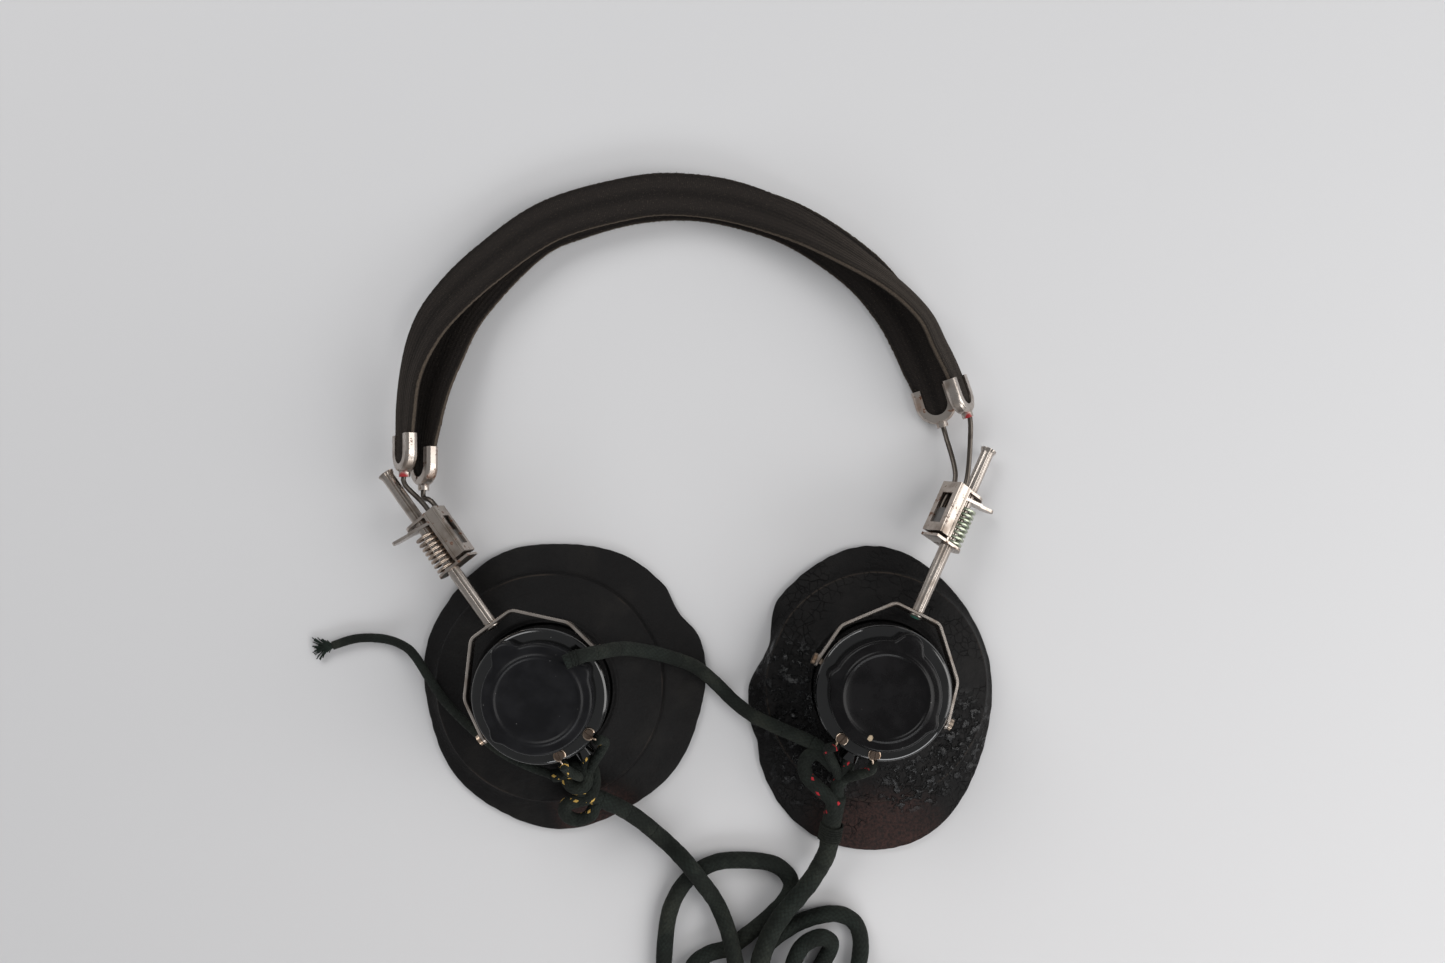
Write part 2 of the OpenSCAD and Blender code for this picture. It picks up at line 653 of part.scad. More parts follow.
module ear_cushion(s) {
    around = 56;
    profile = cushion_profile();
    rows = len(profile);
    points = [
        for (j = [0:around - 1])
            let (a = 360 * j / around, rim = brim_point(s, a))
            for (q = profile)
                let (
                    base = q[0] == 0 ? cushion_step_r + 0.8 : q[0],
                    neck = base * [cos(a), sin(a)],
                    p = neck + (rim - neck) * (q[0] == 0 ? (q[2] - 0.35) / 0.65 : q[2] * 0.5)
                )
                [p.x, p.y, q[1]]
    ];
    color([0.07, 0.07, 0.07]) translate(receiver_at[s]) polyhedron(
        points = points,
        faces = [
            for (j = [0:around - 1]) for (i = [0:rows - 1])
                let (
                    a = j * rows + i,
                    b = j * rows + (i + 1) % rows,
                    c = ((j + 1) % around) * rows + i,
                    d = ((j + 1) % around) * rows + (i + 1) % rows
                )
                each [[a, c, b], [b, c, d]],
        ],
        convexity = 6
    );
}

// ---- cords ----

module knot(s) {
    color([0.06, 0.12, 0.09]) translate(knot_at[s]) for (p = [[0, 0, 0], [3, -2.6, -1.2], [-3, 1.8, -0.6]])
        translate(p) sphere(r = 4.4, $fn = 32);
}

// Three short leads from the bush and the terminals to the knot
module inner_leads(s) {
    r = case_r + 3.6;
    d = 1.7;
    to = knot_at[s];
    bush = on_receiver(s, [0, -r, case_z + 6]);
    starts = [for (x = [-1, 1]) on_receiver(s, rot_z([terminal_r + 1.7, 0, case_top + 0.9], -90 + 17 * x))];
    color([0.08, 0.14, 0.1]) union() {
        tube_along([bush, (bush + to) / 2 + [0, 0, 1], to], 3, 4, 8);
        for (a = starts)
            tube_along([a, a + (to - a) * 0.25 + [0, 0, 2.6], a + (to - a) * 0.65, to], d, 5, 6);
    }
}
function on_receiver(s, p) = receiver_at[s] + rot_z(p, rod_turn[s] - 90);

module cord(points, diameter, rings) {
    color([0.06, 0.12, 0.09]) tube_along(points, diameter, rings);
}

module along(from, to) {
    d = to - from;
    translate(from) rotate([0, acos(d.z / norm(d)), atan2(d.y, d.x)]) children();
}

module lead_junction() {
    color([0.05, 0.08, 0.07]) along(junction_from, junction_to)
        cylinder(r = lead_d / 2 + 0.9, h = norm(junction_to - junction_from), $fn = fine);
}

module cord_coil() {
    color([0.06, 0.12, 0.09]) translate(coil_at) rotate_extrude($fn = 96)
        translate([coil_r - coil_w / 2, 0]) square([coil_w, coil_h]);
}

module coil_tie() {
    gap = 0.2;
    t = 1.4;
    color([0.06, 0.12, 0.09]) translate(coil_at) rotate([0, 0, 40]) translate([coil_r, 0, 0])
        difference() {
            translate([-coil_w / 2 - t, -2.5, 0]) cube([coil_w + 2 * t, 5, coil_h + t]);
            translate([-coil_w / 2 - gap, -3, -1]) cube([coil_w + 2 * gap, 6, coil_h + gap + 1]);
        }
}

// Plug lying on the table: handle, sleeve and tip along +X
module plug_handle() {
    color([0.06, 0.06, 0.06]) translate(plug_at) rotate([0, 90, 0]) union() {
        cylinder(r1 = 4.4, r2 = plug_r - 1, h = 6, $fn = fine);
        translate([0, 0, 6]) cylinder(r = plug_r, h = 27, $fn = fine);
        translate([0, 0, 33]) cylinder(r1 = plug_r, r2 = plug_r - 1.6, h = 2, $fn = fine);
    }
}

module plug_sleeve() {
    color("gold") translate(plug_at) rotate([0, 90, 0]) union() {
        translate([0, 0, 35]) cylinder(r = 4.2, h = 2.5, $fn = fine);
        translate([0, 0, 37.5]) cylinder(r = 3.17, h = 20, $fn = fine);
    }
}

module plug_tip() {
    color("gold") translate(plug_at) rotate([0, 90, 0]) translate([0, 0, 57.5]) union() {
        cylinder(r = 1.9, h = 3, $fn = fine);
        translate([0, 0, 1]) cylinder(r1 = 2.2, r2 = 3.17, h = 3, $fn = fine);
        translate([0, 0, 4]) cylinder(r1 = 3.17, r2 = 1.2, h = 4.5, $fn = fine);
    }
}

color([0.1, 0.09, 0.08]) strap(strap_front_line);  // strap_front
color([0.1, 0.09, 0.08]) strap(strap_back_line);  // strap_back
color("dimgray") band_wire(strap_front_line, wire_front_in);  // band_wire_front
color("dimgray") band_wire(strap_back_line, wire_back_in);  // band_wire_back
end_clip(strap_front_line, true);  // clip_front_left
end_clip(strap_back_line, true);  // clip_back_left
end_clip(strap_front_line, false);  // clip_front_right
end_clip(strap_back_line, false);  // clip_back_right
clamp(LEFT);  // clamp_left
clamp(RIGHT);  // clamp_right
wire_anchor(LEFT);  // wire_anchor_left
wire_anchor(RIGHT);  // wire_anchor_right
release_lever(LEFT);  // release_lever_left
release_lever(RIGHT);  // release_lever_right
clamp_spring(LEFT);  // clamp_spring_left
clamp_spring(RIGHT);  // clamp_spring_right
slide_rod(LEFT);  // slide_rod_left
slide_rod(RIGHT);  // slide_rod_right
yoke(LEFT);  // yoke_left
yoke(RIGHT);  // yoke_right
pivot_screws(LEFT);  // pivot_screws_left
pivot_screws(RIGHT);  // pivot_screws_right
receiver_case(LEFT);  // receiver_case_left
receiver_case(RIGHT);  // receiver_case_right
back_cap(LEFT);  // back_cap_left
back_cap(RIGHT);  // back_cap_right
cord_bush(LEFT);  // cord_bush_left
cord_bush(RIGHT);  // cord_bush_right
terminal_screws(LEFT);  // terminal_screws_left
terminal_screws(RIGHT);  // terminal_screws_right
ear_cap(LEFT);  // ear_cap_left
ear_cap(RIGHT);  // ear_cap_right
diaphragm(LEFT);  // diaphragm_left
diaphragm(RIGHT);  // diaphragm_right
magnet(LEFT);  // magnet_left
magnet(RIGHT);  // magnet_right
pole_pieces(LEFT);  // pole_pieces_left
pole_pieces(RIGHT);  // pole_pieces_right
coils(LEFT);  // coils_left
coils(RIGHT);  // coils_right
ear_cushion(LEFT);  // ear_cushion_left
ear_cushion(RIGHT);  // ear_cushion_right
knot(LEFT);  // knot_left
knot(RIGHT);  // knot_right
inner_leads(LEFT);  // inner_leads_left
inner_leads(RIGHT);  // inner_leads_right
cord(tie_route, tie_d, 14);  // tie_cord
cord(link_route, link_d, 16);  // link_cord
cord(left_lead_route, lead_d, 14);  // left_lead
cord(right_lead_route, right_lead_d, 13);  // right_lead
lead_junction();
cord(trunk_route, lead_d, 60);  // trunk_cord
cord_coil();
coil_tie();
cord(tail_route, lead_d, 5);  // plug_tail
plug_handle();
plug_sleeve();
plug_tip();
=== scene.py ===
import math
import random

import bmesh
import bpy
from mathutils import Matrix, Vector, noise


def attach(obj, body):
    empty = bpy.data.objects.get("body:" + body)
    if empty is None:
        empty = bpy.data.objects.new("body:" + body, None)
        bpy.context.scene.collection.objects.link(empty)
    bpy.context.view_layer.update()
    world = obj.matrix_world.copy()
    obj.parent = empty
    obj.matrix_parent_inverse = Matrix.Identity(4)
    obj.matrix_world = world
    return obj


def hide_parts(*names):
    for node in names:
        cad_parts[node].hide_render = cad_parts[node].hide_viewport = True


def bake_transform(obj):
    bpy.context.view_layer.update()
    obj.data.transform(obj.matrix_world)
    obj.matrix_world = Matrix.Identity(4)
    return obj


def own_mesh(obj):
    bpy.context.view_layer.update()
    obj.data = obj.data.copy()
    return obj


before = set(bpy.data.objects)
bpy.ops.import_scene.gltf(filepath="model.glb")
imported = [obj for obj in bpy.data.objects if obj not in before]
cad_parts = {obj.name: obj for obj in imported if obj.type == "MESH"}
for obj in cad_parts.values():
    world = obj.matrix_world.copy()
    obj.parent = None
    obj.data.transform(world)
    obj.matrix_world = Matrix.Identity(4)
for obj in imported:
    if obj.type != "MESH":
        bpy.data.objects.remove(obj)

MM = 0.001
UP = Vector((0, 0, 1))
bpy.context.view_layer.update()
dice = random.Random(7)

# Sizes and places of the CAD model, in millimetres and degrees
RECEIVER_AT = {"left": Vector((-54.2, -64.8, 0)), "right": Vector((70.3, -63.6, 0))}
ROD_TURN = {"left": 126.5, "right": 64}
ROD_DIP = {"left": 7, "right": 13}
CLAMP_AT = {"left": 56.5, "right": 59.6}
CLAMP_ROLL = {"left": 9, "right": 30}
INNER = {"left": 1, "right": -1}
PIVOT_Z = 28
CASE_R = 24.8
CASE_Z = 19.4
CASE_TOP = 33.9
CAP_R = 20.1
CAP_H = 8
CUSHION_H = 17
LEDGE_Z = 14.8
STRAP_W, STRAP_T = 17, 3
LEAD_D, RIGHT_LEAD_D, LINK_D, TIE_D = 6.3, 7.2, 5.2, 3.4
COIL_AT = Vector((75, -228, 0))
COIL_R = 31
STRANDS = 10.0
FREE_STEP, LEAD_STEP, TRUNK_STEP = 0.8, 0.9, 1.0
# Where the cords pass from one body to the next, along each cord from its receiver
TIE_CUTS = (14, 30)
LINK_CUTS = (12, 24, 76, 108, 120)
LEFT_CUTS = (12, 26)
RIGHT_CUTS = (10, 22)
STEP_R = 41
CUSHION_STEPS = 6
STEP_ROW = 5.7 * CUSHION_STEPS


def points(*rows):
    """Rows of numbers as vectors."""
    return [Vector(row) for row in rows]


# ---------------------------------------------------------------- camera, floor and light

LENS = 34.94
CAMERA_AT = (0.012, 0.013, 0.540)
WINDOW_TINT = (1, 0.985, 0.97)
SOFTBOX_TINT = (1, 0.998, 0.995)
SILL_TINT = (0.97, 0.985, 1)


def set_camera():
    """Looks straight down on the headphones."""
    camera = bpy.data.objects.new("camera", bpy.data.cameras.new("camera"))
    camera.data.sensor_width = 36
    camera.data.lens = LENS
    camera.data.clip_start = 0.01
    camera.location = CAMERA_AT
    bpy.context.collection.objects.link(camera)
    bpy.context.scene.camera = camera


def area_light(name, place, size, power, tint):
    """A rectangular lamp that faces the middle of the floor."""
    lamp = bpy.data.lights.new(name, "AREA")
    lamp.shape = "RECTANGLE"
    lamp.size, lamp.size_y = size
    lamp.energy = power
    lamp.color = tint
    holder = bpy.data.objects.new(name, lamp)
    holder.location = place
    holder.rotation_euler = Vector(place).to_track_quat("Z", "Y").to_euler()
    bpy.context.collection.objects.link(holder)


def srgb(r, g, b):
    """A colour given as it looks on a screen, 0 to 255, for a shader socket."""
    return tuple(
        c / 12.92 if c <= 0.04045 else ((c + 0.055) / 1.055) ** 2.4
        for c in (r / 255, g / 255, b / 255)
    ) + (1.0,)


class Shader:
    """A material written as short expressions. Each method returns a socket."""

    def __init__(self, name):
        self.material = bpy.data.materials.new(name)
        self.material.use_nodes = True
        self.tree = self.material.node_tree
        self.surface = self.tree.nodes["Principled BSDF"]

    def put(self, socket, value):
        if isinstance(value, bpy.types.NodeSocket):
            self.tree.links.new(value, socket)
        else:
            socket.default_value = value

    def node(self, kind, **settings):
        made = self.tree.nodes.new("ShaderNode" + kind)
        for key, value in settings.items():
            setattr(made, key, value)
        return made

    def maths(self, operation, *values):
        made = self.node("Math", operation=operation)
        for socket, value in zip(made.inputs, values):
            self.put(socket, value)
        return made.outputs[0]

    def place(self):
        return self.node("TexCoord").outputs["Object"]

    def along(self):
        """The piece's own measure along and across it: U in millimetres, V round or across."""
        split = self.node("SeparateXYZ")
        self.tree.links.new(self.node("TexCoord").outputs["UV"], split.inputs[0])
        return split.outputs[0], split.outputs[1]

    def noise(self, size, detail=4, rough=0.55):
        """Noise with features of this size in millimetres."""
        made = self.node("TexNoise")
        self.tree.links.new(self.place(), made.inputs["Vector"])
        self.put(made.inputs["Scale"], 1000 / size)
        self.put(made.inputs["Detail"], detail)
        self.put(made.inputs["Roughness"], rough)
        return made.outputs["Fac"]

    def cells(self, size, feature="DISTANCE_TO_EDGE"):
        made = self.node("TexVoronoi", feature=feature)
        self.tree.links.new(self.place(), made.inputs["Vector"])
        self.put(made.inputs["Scale"], 1000 / size)
        return made.outputs["Distance"]

    def band(self, value, low, high):
        """0 below low, 1 above high (or the other way round), and smooth between."""
        made = self.node("MapRange", interpolation_type="SMOOTHSTEP")
        self.put(made.inputs[0], value)
        self.put(made.inputs[1], low)
        self.put(made.inputs[2], high)
        return made.outputs[0]

    def near(self, place, reach, soft=0.35):
        """1 within reach of a place, in millimetres."""
        away = self.node("VectorMath", operation="DISTANCE")
        self.tree.links.new(self.place(), away.inputs[0])
        away.inputs[1].default_value = Vector(place) * MM
        ragged = self.maths("MULTIPLY_ADD", self.noise(reach * 0.7), 0.8 * reach * MM, 0.0)
        far = self.maths("ADD", away.outputs["Value"], ragged)
        return self.band(far, (1.4 + soft) * reach * MM, (1.4 - soft) * reach * MM)

    def mix(self, share, a, b):
        made = self.node("Mix", data_type="RGBA")
        self.put(made.inputs[0], share)
        self.put(made.inputs[6], a)
        self.put(made.inputs[7], b)
        return made.outputs[2]

    def bump(self, height, depth):
        """The surface's normal for a height from 0 to 1 that stands this many millimetres."""
        made = self.node("Bump")
        self.put(made.inputs["Strength"], 1.0)
        self.put(made.inputs["Distance"], depth * MM)
        self.put(made.inputs["Height"], height)
        return made.outputs["Normal"]

    def finish(self, **sockets):
        for key, value in sockets.items():
            self.put(self.surface.inputs[key.replace("_", " ")], value)
        return self.material


def set_stage():
    """Pale paper, three soft lamps, and a world that is paler to the camera than to the object."""
    floor_mesh = bpy.data.meshes.new("floor")
    reach = 2.5
    corners = [(-reach, -reach, 0), (reach, -reach, 0), (reach, reach, 0), (-reach, reach, 0)]
    floor_mesh.from_pydata(corners, [], [(0, 1, 2, 3)])
    floor = bpy.data.objects.new("floor", floor_mesh)
    floor.location.z = -0.0002
    bpy.context.collection.objects.link(floor)
    paper = Shader("paper")
    tone = paper.mix(paper.noise(900, 1), srgb(207, 208, 210), srgb(211, 209, 209))
    floor_mesh.materials.append(paper.finish(Base_Color=tone, Roughness=0.9, Specular_IOR_Level=0.1))
    world = bpy.data.worlds.new("studio")
    world.use_nodes = True
    bpy.context.scene.world = world
    tree = world.node_tree
    light = tree.nodes.new("ShaderNodeLightPath")
    back = tree.nodes["Background"]
    tone = tree.nodes.new("ShaderNodeMix")
    tone.data_type = "RGBA"
    tone.inputs[6].default_value = (0.285, 0.289, 0.295, 1)
    tone.inputs[7].default_value = srgb(212, 213, 215)
    tree.links.new(light.outputs["Is Camera Ray"], tone.inputs[0])
    tree.links.new(tone.outputs[2], back.inputs["Color"])
    area_light("window", (0.95, -0.1, 0.62), (0.8, 1.2), 9.5, WINDOW_TINT)
    area_light("softbox", (-0.6, 0.8, 0.8), (1.0, 0.6), 7.5, SOFTBOX_TINT)
    area_light("sill", (0.35, -0.85, 0.5), (0.9, 0.3), 4.0, SILL_TINT)
    bpy.context.scene.view_settings.view_transform = "Standard"


# ---------------------------------------------------------------- materials


def braid(name, base, dust, tracer=None):
    """Braided cotton: strands cross over and under, and one strand can be a coloured tracer."""
    s = Shader(name)
    u, v = s.along()
    strands = 11
    lean = 0.42
    one = s.maths("MULTIPLY_ADD", u, lean, s.maths("MULTIPLY", v, strands))
    other = s.maths("SUBTRACT", s.maths("MULTIPLY", v, strands), s.maths("MULTIPLY", u, lean))
    crown_one = s.maths("PINGPONG", one, 0.5)
    crown_other = s.maths("PINGPONG", other, 0.5)
    squares = s.maths("ADD", s.maths("FLOOR", one), s.maths("FLOOR", other))
    over = s.maths("FLOORED_MODULO", squares, 2.0)
    under = s.maths("SUBTRACT", 1.0, over)
    height_one = s.maths("MULTIPLY", crown_one, over)
    height = s.maths("ADD", height_one, s.maths("MULTIPLY", crown_other, under))
    fuzz = s.noise(0.6, 3, 0.7)
    patches = s.band(s.noise(22, 5, 0.65), 0.45, 0.75)
    faded = tuple(0.55 * c for c in base[:3]) + (1,)
    tone = s.mix(s.band(s.noise(11, 3), 0.4, 0.6), faded, base)
    # Painted shade: the low places between strands are darkened towards 0.3 of the base colour.
    tone = s.mix(s.band(height, 0.0, 0.3), tuple(0.3 * c for c in base[:3]) + (1,), tone)
    dusty = s.maths("MULTIPLY", s.maths("ADD", patches, 0.25), s.maths("MULTIPLY", fuzz, 0.42))
    tone = s.mix(dusty, tone, dust)
    if tracer:
        index = s.maths("FLOORED_MODULO", s.maths("FLOOR", one), float(strands))
        mark = s.maths("MULTIPLY", s.maths("COMPARE", index, 3.0, 0.4), over)
        spaced = s.maths("LESS_THAN", s.maths("FLOORED_MODULO", u, 5.2), 3.1)
        mark = s.maths("MULTIPLY", s.maths("MULTIPLY", mark, spaced), s.band(crown_one, 0.05, 0.15))
        tone = s.mix(mark, tone, tracer)
    relief = s.maths("MULTIPLY_ADD", fuzz, 0.35, height)
    return s.finish(
        Base_Color=tone, Roughness=0.93, Specular_IOR_Level=0.25, Sheen_Weight=0.1,
        Sheen_Roughness=0.6, Sheen_Tint=dust, Normal=s.bump(relief, 0.32),
    )


def webbing():
    """Tubular black webbing, brown with dust at its edges, with painted highlight on its rib tops and
    painted shade in the hollows between ribs and picks.
    """
    s = Shader("webbing")
    u, v = s.along()
    ribs = s.maths("PINGPONG", s.maths("MULTIPLY", v, 1.1), 0.5)
    picks = s.maths("PINGPONG", s.maths("MULTIPLY", u, 1.5), 0.5)
    fuzz = s.noise(0.45, 5, 0.7)
    patches = s.band(s.noise(28, 6, 0.7), 0.42, 0.75)
    edge = s.band(s.maths("ABSOLUTE", v), 5.6, 8.2)
    grime = s.maths("MULTIPLY", fuzz, s.maths("MAXIMUM", edge, s.maths("MULTIPLY", patches, 0.42)))
    # Painted highlight and shade: the rib tops are lighter and the hollows between ribs darker.
    tone = s.mix(s.band(ribs, 0.05, 0.4), srgb(24, 21, 20), srgb(36, 32, 30))
    # Painted shade: the hollows between the picks are darkened.
    tone = s.mix(s.maths("MULTIPLY", s.band(picks, 0.3, 0.05), 0.5), tone, srgb(16, 14, 13))
    tone = s.mix(s.band(fuzz, 0.56, 0.74), tone, srgb(84, 75, 66))
    tone = s.mix(s.band(grime, 0.14, 0.7), tone, srgb(88, 78, 68))
    height = s.maths("ADD", s.maths("MULTIPLY", ribs, 0.9), s.maths("MULTIPLY_ADD", picks, 0.5, fuzz))
    return s.finish(
        Base_Color=tone, Roughness=0.92, Specular_IOR_Level=0.2, Sheen_Weight=0.18,
        Sheen_Roughness=0.5, Sheen_Tint=srgb(150, 132, 112), Normal=s.bump(height, 0.22),
    )


def rubber(name, base, bloom, brown_at, brown_reach, cracked_from, tar_at=()):
    """Aged rubber: dull, with bloom in patches, fine cracks, and tar-like spots where it has melted."""
    s = Shader(name)
    grain = s.noise(1.1, 6, 0.65)
    patches = s.band(s.noise(20, 5, 0.6), 0.42, 0.7)
    cracks = s.band(s.cells(3.2), 0.05, 0.0)
    cracked = s.band(s.noise(17, 3), cracked_from, cracked_from + 0.12)
    tone = s.mix(s.maths("MULTIPLY", patches, grain), base, bloom)
    _, row = s.along()
    ring = s.band(s.maths("ABSOLUTE", s.maths("SUBTRACT", row, STEP_ROW)), 2.6, 0.4)
    ring = s.maths("MULTIPLY", ring, s.band(s.noise(30, 3), 0.4, 0.62))
    tone = s.mix(s.maths("MULTIPLY", ring, 0.6), tone, srgb(58, 50, 43))
    brown = s.near(brown_at, brown_reach, 0.5)
    tone = s.mix(s.maths("MULTIPLY", brown, s.band(grain, 0.25, 0.75)), tone, srgb(62, 42, 38))
    crack = s.maths("MULTIPLY", cracks, cracked)
    tone = s.mix(crack, tone, srgb(14, 13, 13))
    rough = s.maths("MULTIPLY_ADD", grain, 0.25, 0.5)
    height = s.maths("SUBTRACT", grain, s.maths("MULTIPLY", crack, 1.2))
    gleam = 0.14
    if tar_at:
        blobs = s.band(s.noise(3.0, 4, 0.65), 0.48, 0.58)
        zones = s.near(*tar_at[0])
        for place, reach in tar_at[1:]:
            zones = s.maths("MAXIMUM", zones, s.near(place, reach))
        tar = s.maths("MULTIPLY", blobs, zones)
        tone = s.mix(tar, tone, srgb(7, 7, 8))
        rough = s.maths("SUBTRACT", rough, s.maths("MULTIPLY", tar, 0.44))
        gleam = s.maths("MULTIPLY_ADD", tar, 0.2, gleam)
        lumps = s.noise(2.4, 3, 0.5)
        height = s.maths("MULTIPLY_ADD", tar, s.maths("MULTIPLY_ADD", lumps, 3.0, 1.0), height)
    return s.finish(
        Base_Color=tone, Roughness=rough, Specular_IOR_Level=gleam, Normal=s.bump(height, 0.34)
    )


def bakelite(name, base, shine, gleam, chip_at=None):
    """Moulded bakelite with hairline scratches and dust specks, and a chip to the tan filler."""
    s = Shader(name)
    cloud = s.noise(9, 4)
    fine = s.noise(0.7, 5, 0.7)
    specks = s.band(s.cells(4.5, "F1"), 0.055, 0.03)
    paler = tuple(c * 1.5 + 0.002 for c in base[:3]) + (1,)
    tone = s.mix(s.band(cloud, 0.35, 0.7), base, paler)
    tone = s.mix(s.maths("MULTIPLY", specks, 0.6), tone, srgb(120, 118, 116))
    if chip_at:
        tone = s.mix(s.near(chip_at, 1.1, 0.1), tone, srgb(176, 158, 134))
    rough = s.maths("MULTIPLY_ADD", fine, 0.05, shine)
    rough = s.maths("MULTIPLY_ADD", s.band(cloud, 0.4, 0.65), 0.06, rough)
    return s.finish(
        Base_Color=tone, Roughness=rough, Specular_IOR_Level=gleam, Normal=s.bump(fine, 0.006)
    )


def metal(name, base, dull, rust=0.5, spots=(), shine=0.22):
    """Plated metal: tarnished in patches, rusty where the plating is thin, with coloured spots."""
    s = Shader(name)
    fine = s.noise(3, 2, 0.4)
    cloud = s.noise(7, 3, 0.45)
    tarnish = s.band(cloud, 0.48, 0.75)
    rusty = s.band(s.noise(2.6, 4, 0.65), 1.18 - rust, 1.26 - rust)
    tone = s.mix(tarnish, base, dull)
    tone = s.mix(rusty, tone, srgb(96, 62, 42))
    for place, reach, colour in spots:
        mark = s.near(place, reach)
        tone = s.mix(mark, tone, colour)
        rusty = s.maths("MAXIMUM", rusty, mark)
    rough = s.maths("MULTIPLY_ADD", fine, 0.1, shine)
    rough = s.maths("MULTIPLY_ADD", tarnish, 0.12, rough)
    rough = s.maths("MULTIPLY_ADD", rusty, 0.35, rough)
    return s.finish(
        Base_Color=tone, Metallic=s.maths("MULTIPLY_ADD", rusty, -0.85, 1.0), Roughness=rough,
        Normal=s.bump(rusty, 0.006),
    )


def winding():
    """Fine enamelled copper wire in close turns."""
    s = Shader("coil_winding")
    wave = s.node("TexWave", bands_direction="Z")
    s.tree.links.new(s.place(), wave.inputs["Vector"])
    s.put(wave.inputs["Scale"], 1100.0)
    turns = wave.outputs["Fac"]
    # Painted shade and highlight: darker copper in the grooves between turns, lighter on their crowns.
    tone = s.mix(turns, srgb(70, 34, 18), srgb(156, 92, 52))
    return s.finish(Base_Color=tone, Roughness=0.35, Normal=s.bump(turns, 0.1))


# ---------------------------------------------------------------- shapes


def smooth(x, low, high):
    """0 below low, 1 above high, and smooth between."""
    f = min(1, max(0, (x - low) / (high - low)))
    return f * f * (3 - 2 * f)


def between(a, b, c, d, f):
    """The place a share f of the way from b to c on a smooth curve through a, b, c and d."""
    return b + 0.5 * f * ((c - a) + f * ((2 * a - 5 * b + 4 * c - d) + f * (3 * (b - c) + d - a)))


def spline(controls, step):
    """Points about `step` apart on a smooth curve through the controls."""
    last = len(controls) - 1
    line = []
    for i in range(last):
        a, b = controls[max(i - 1, 0)], controls[i]
        c, d = controls[i + 1], controls[min(i + 2, last)]
        count = max(2, round((c.xyz - b.xyz).length / step))
        line += [between(a, b, c, d, k / count) for k in range(count)]
    return line + [controls[-1].copy()]


def lengths(line):
    """How far along the line each of its points is."""
    far = [0.0]
    for a, b in zip(line, line[1:]):
        far.append(far[-1] + (b.xyz - a.xyz).length)
    return far


def untwisted(line):
    """Tangent, side and up at each point of a line, without twist."""
    side = None
    made = []
    for i in range(len(line)):
        t = (line[min(i + 1, len(line) - 1)] - line[max(i - 1, 0)]).normalized()
        if side is None:
            side = t.cross(UP)
            side = side if side.length > 0.1 else t.cross(Vector((1, 0, 0)))
        side = (side - t * side.dot(t)).normalized()
        made.append((t, side, side.cross(t)))
    return made


def circle(radius, sides):
    """Points round a circle, as pairs of numbers."""
    return [
        (radius * math.cos(2 * math.pi * k / sides), radius * math.sin(2 * math.pi * k / sides))
        for k in range(sides)
    ]


def skin(rings, us, vs=None, start=0):
    """Corners, faces and their UVs for a closed skin over rings of points."""
    sides = len(rings[0])
    vs = vs or [k / sides for k in range(sides + 1)]
    corners = [p for ring in rings for p in ring]
    faces, uvs = [], []
    for i in range(len(rings) - 1):
        for k in range(sides):
            n = (k + 1) % sides
            a, b = start + i * sides, start + (i + 1) * sides
            faces.append((a + k, a + n, b + n, b + k))
            uvs += [(us[i], vs[k]), (us[i], vs[k + 1]), (us[i + 1], vs[k + 1]), (us[i + 1], vs[k])]
    for end in (0, len(rings) - 1):
        faces.append(tuple(start + end * sides + k for k in range(sides)))
        uvs += [(us[end], vs[k]) for k in range(sides)]
    return corners, faces, uvs


class Form:
    """Shapes gathered into one mesh, in millimetres."""

    def __init__(self):
        self.corners, self.faces, self.uvs = [], [], []

    def add(self, rings, us, vs=None, placed=None):
        """A closed skin over rings, moved to its place if one is given."""
        if placed:
            rings = [[placed @ p for p in ring] for ring in rings]
        corners, faces, uvs = skin(rings, us, vs, len(self.corners))
        self.corners += corners
        self.faces += faces
        self.uvs += uvs
        return self

    def tube(self, line, diameter, sides=20, from_u=0.0, wobble=0.0, placed=None):
        """A round tube along a line. Wobble is how much its thickness varies, as a share."""
        far = lengths(line)
        section = circle(1, sides)
        rings = []
        for (_, side, up), p, u in zip(untwisted(line), line, far):
            r = diameter / 2 * (1 + wobble * noise.noise(Vector((u * 0.35, diameter, p.x * 0.02))))
            rings.append([p + r * (side * x + up * y) for x, y in section])
        return self.add(rings, [from_u + u for u in far], placed=placed)

    def turned(self, profile, sides, placed):
        """A turned shape about Z: rows of (height, radius)."""
        rings = [[Vector((x, y, z)) for x, y in circle(max(r, 0.01), sides)] for z, r in profile]
        return self.add(rings, [z for z, _ in profile], placed=placed)

    def fibre(self, root, way, length, thick=0.05):
        """One loose fibre, as a thin spike."""
        base = len(self.corners)
        way = way.normalized()
        side = way.orthogonal().normalized()
        over = way.cross(side)
        bent = root + way * length + side * length * dice.uniform(-0.4, 0.4)
        for k in range(3):
            turn = 2 * math.pi * k / 3
            self.corners.append(root + thick * (side * math.cos(turn) + over * math.sin(turn)))
        self.corners.append(bent)
        for k in range(3):
            self.faces.append((base + k, base + (k + 1) % 3, base + 3))
            self.uvs += [(0.2, 0.1)] * 3

    def piece(self, name, material, slot, replaces=(), smooth=180):
        """Makes the object, smooth except at edges sharper than the angle; its slot is not used."""
        mesh = bpy.data.meshes.new(name)
        mesh.from_pydata([p * MM for p in self.corners], [], self.faces)
        layer = mesh.uv_layers.new(name="UVMap")
        layer.data.foreach_set("uv", [x for uv in self.uvs for x in uv])
        solid = bmesh.new()
        solid.from_mesh(mesh)
        bmesh.ops.recalc_face_normals(solid, faces=solid.faces)
        solid.to_mesh(mesh)
        solid.free()
        mesh.shade_smooth()
        if smooth < 180:
            mesh.set_sharp_from_angle(angle=math.radians(smooth))
        mesh.materials.append(material)
        made = bpy.data.objects.new(name, mesh)
        bpy.context.collection.objects.link(made)
        if replaces:
            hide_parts(*replaces)
        return made


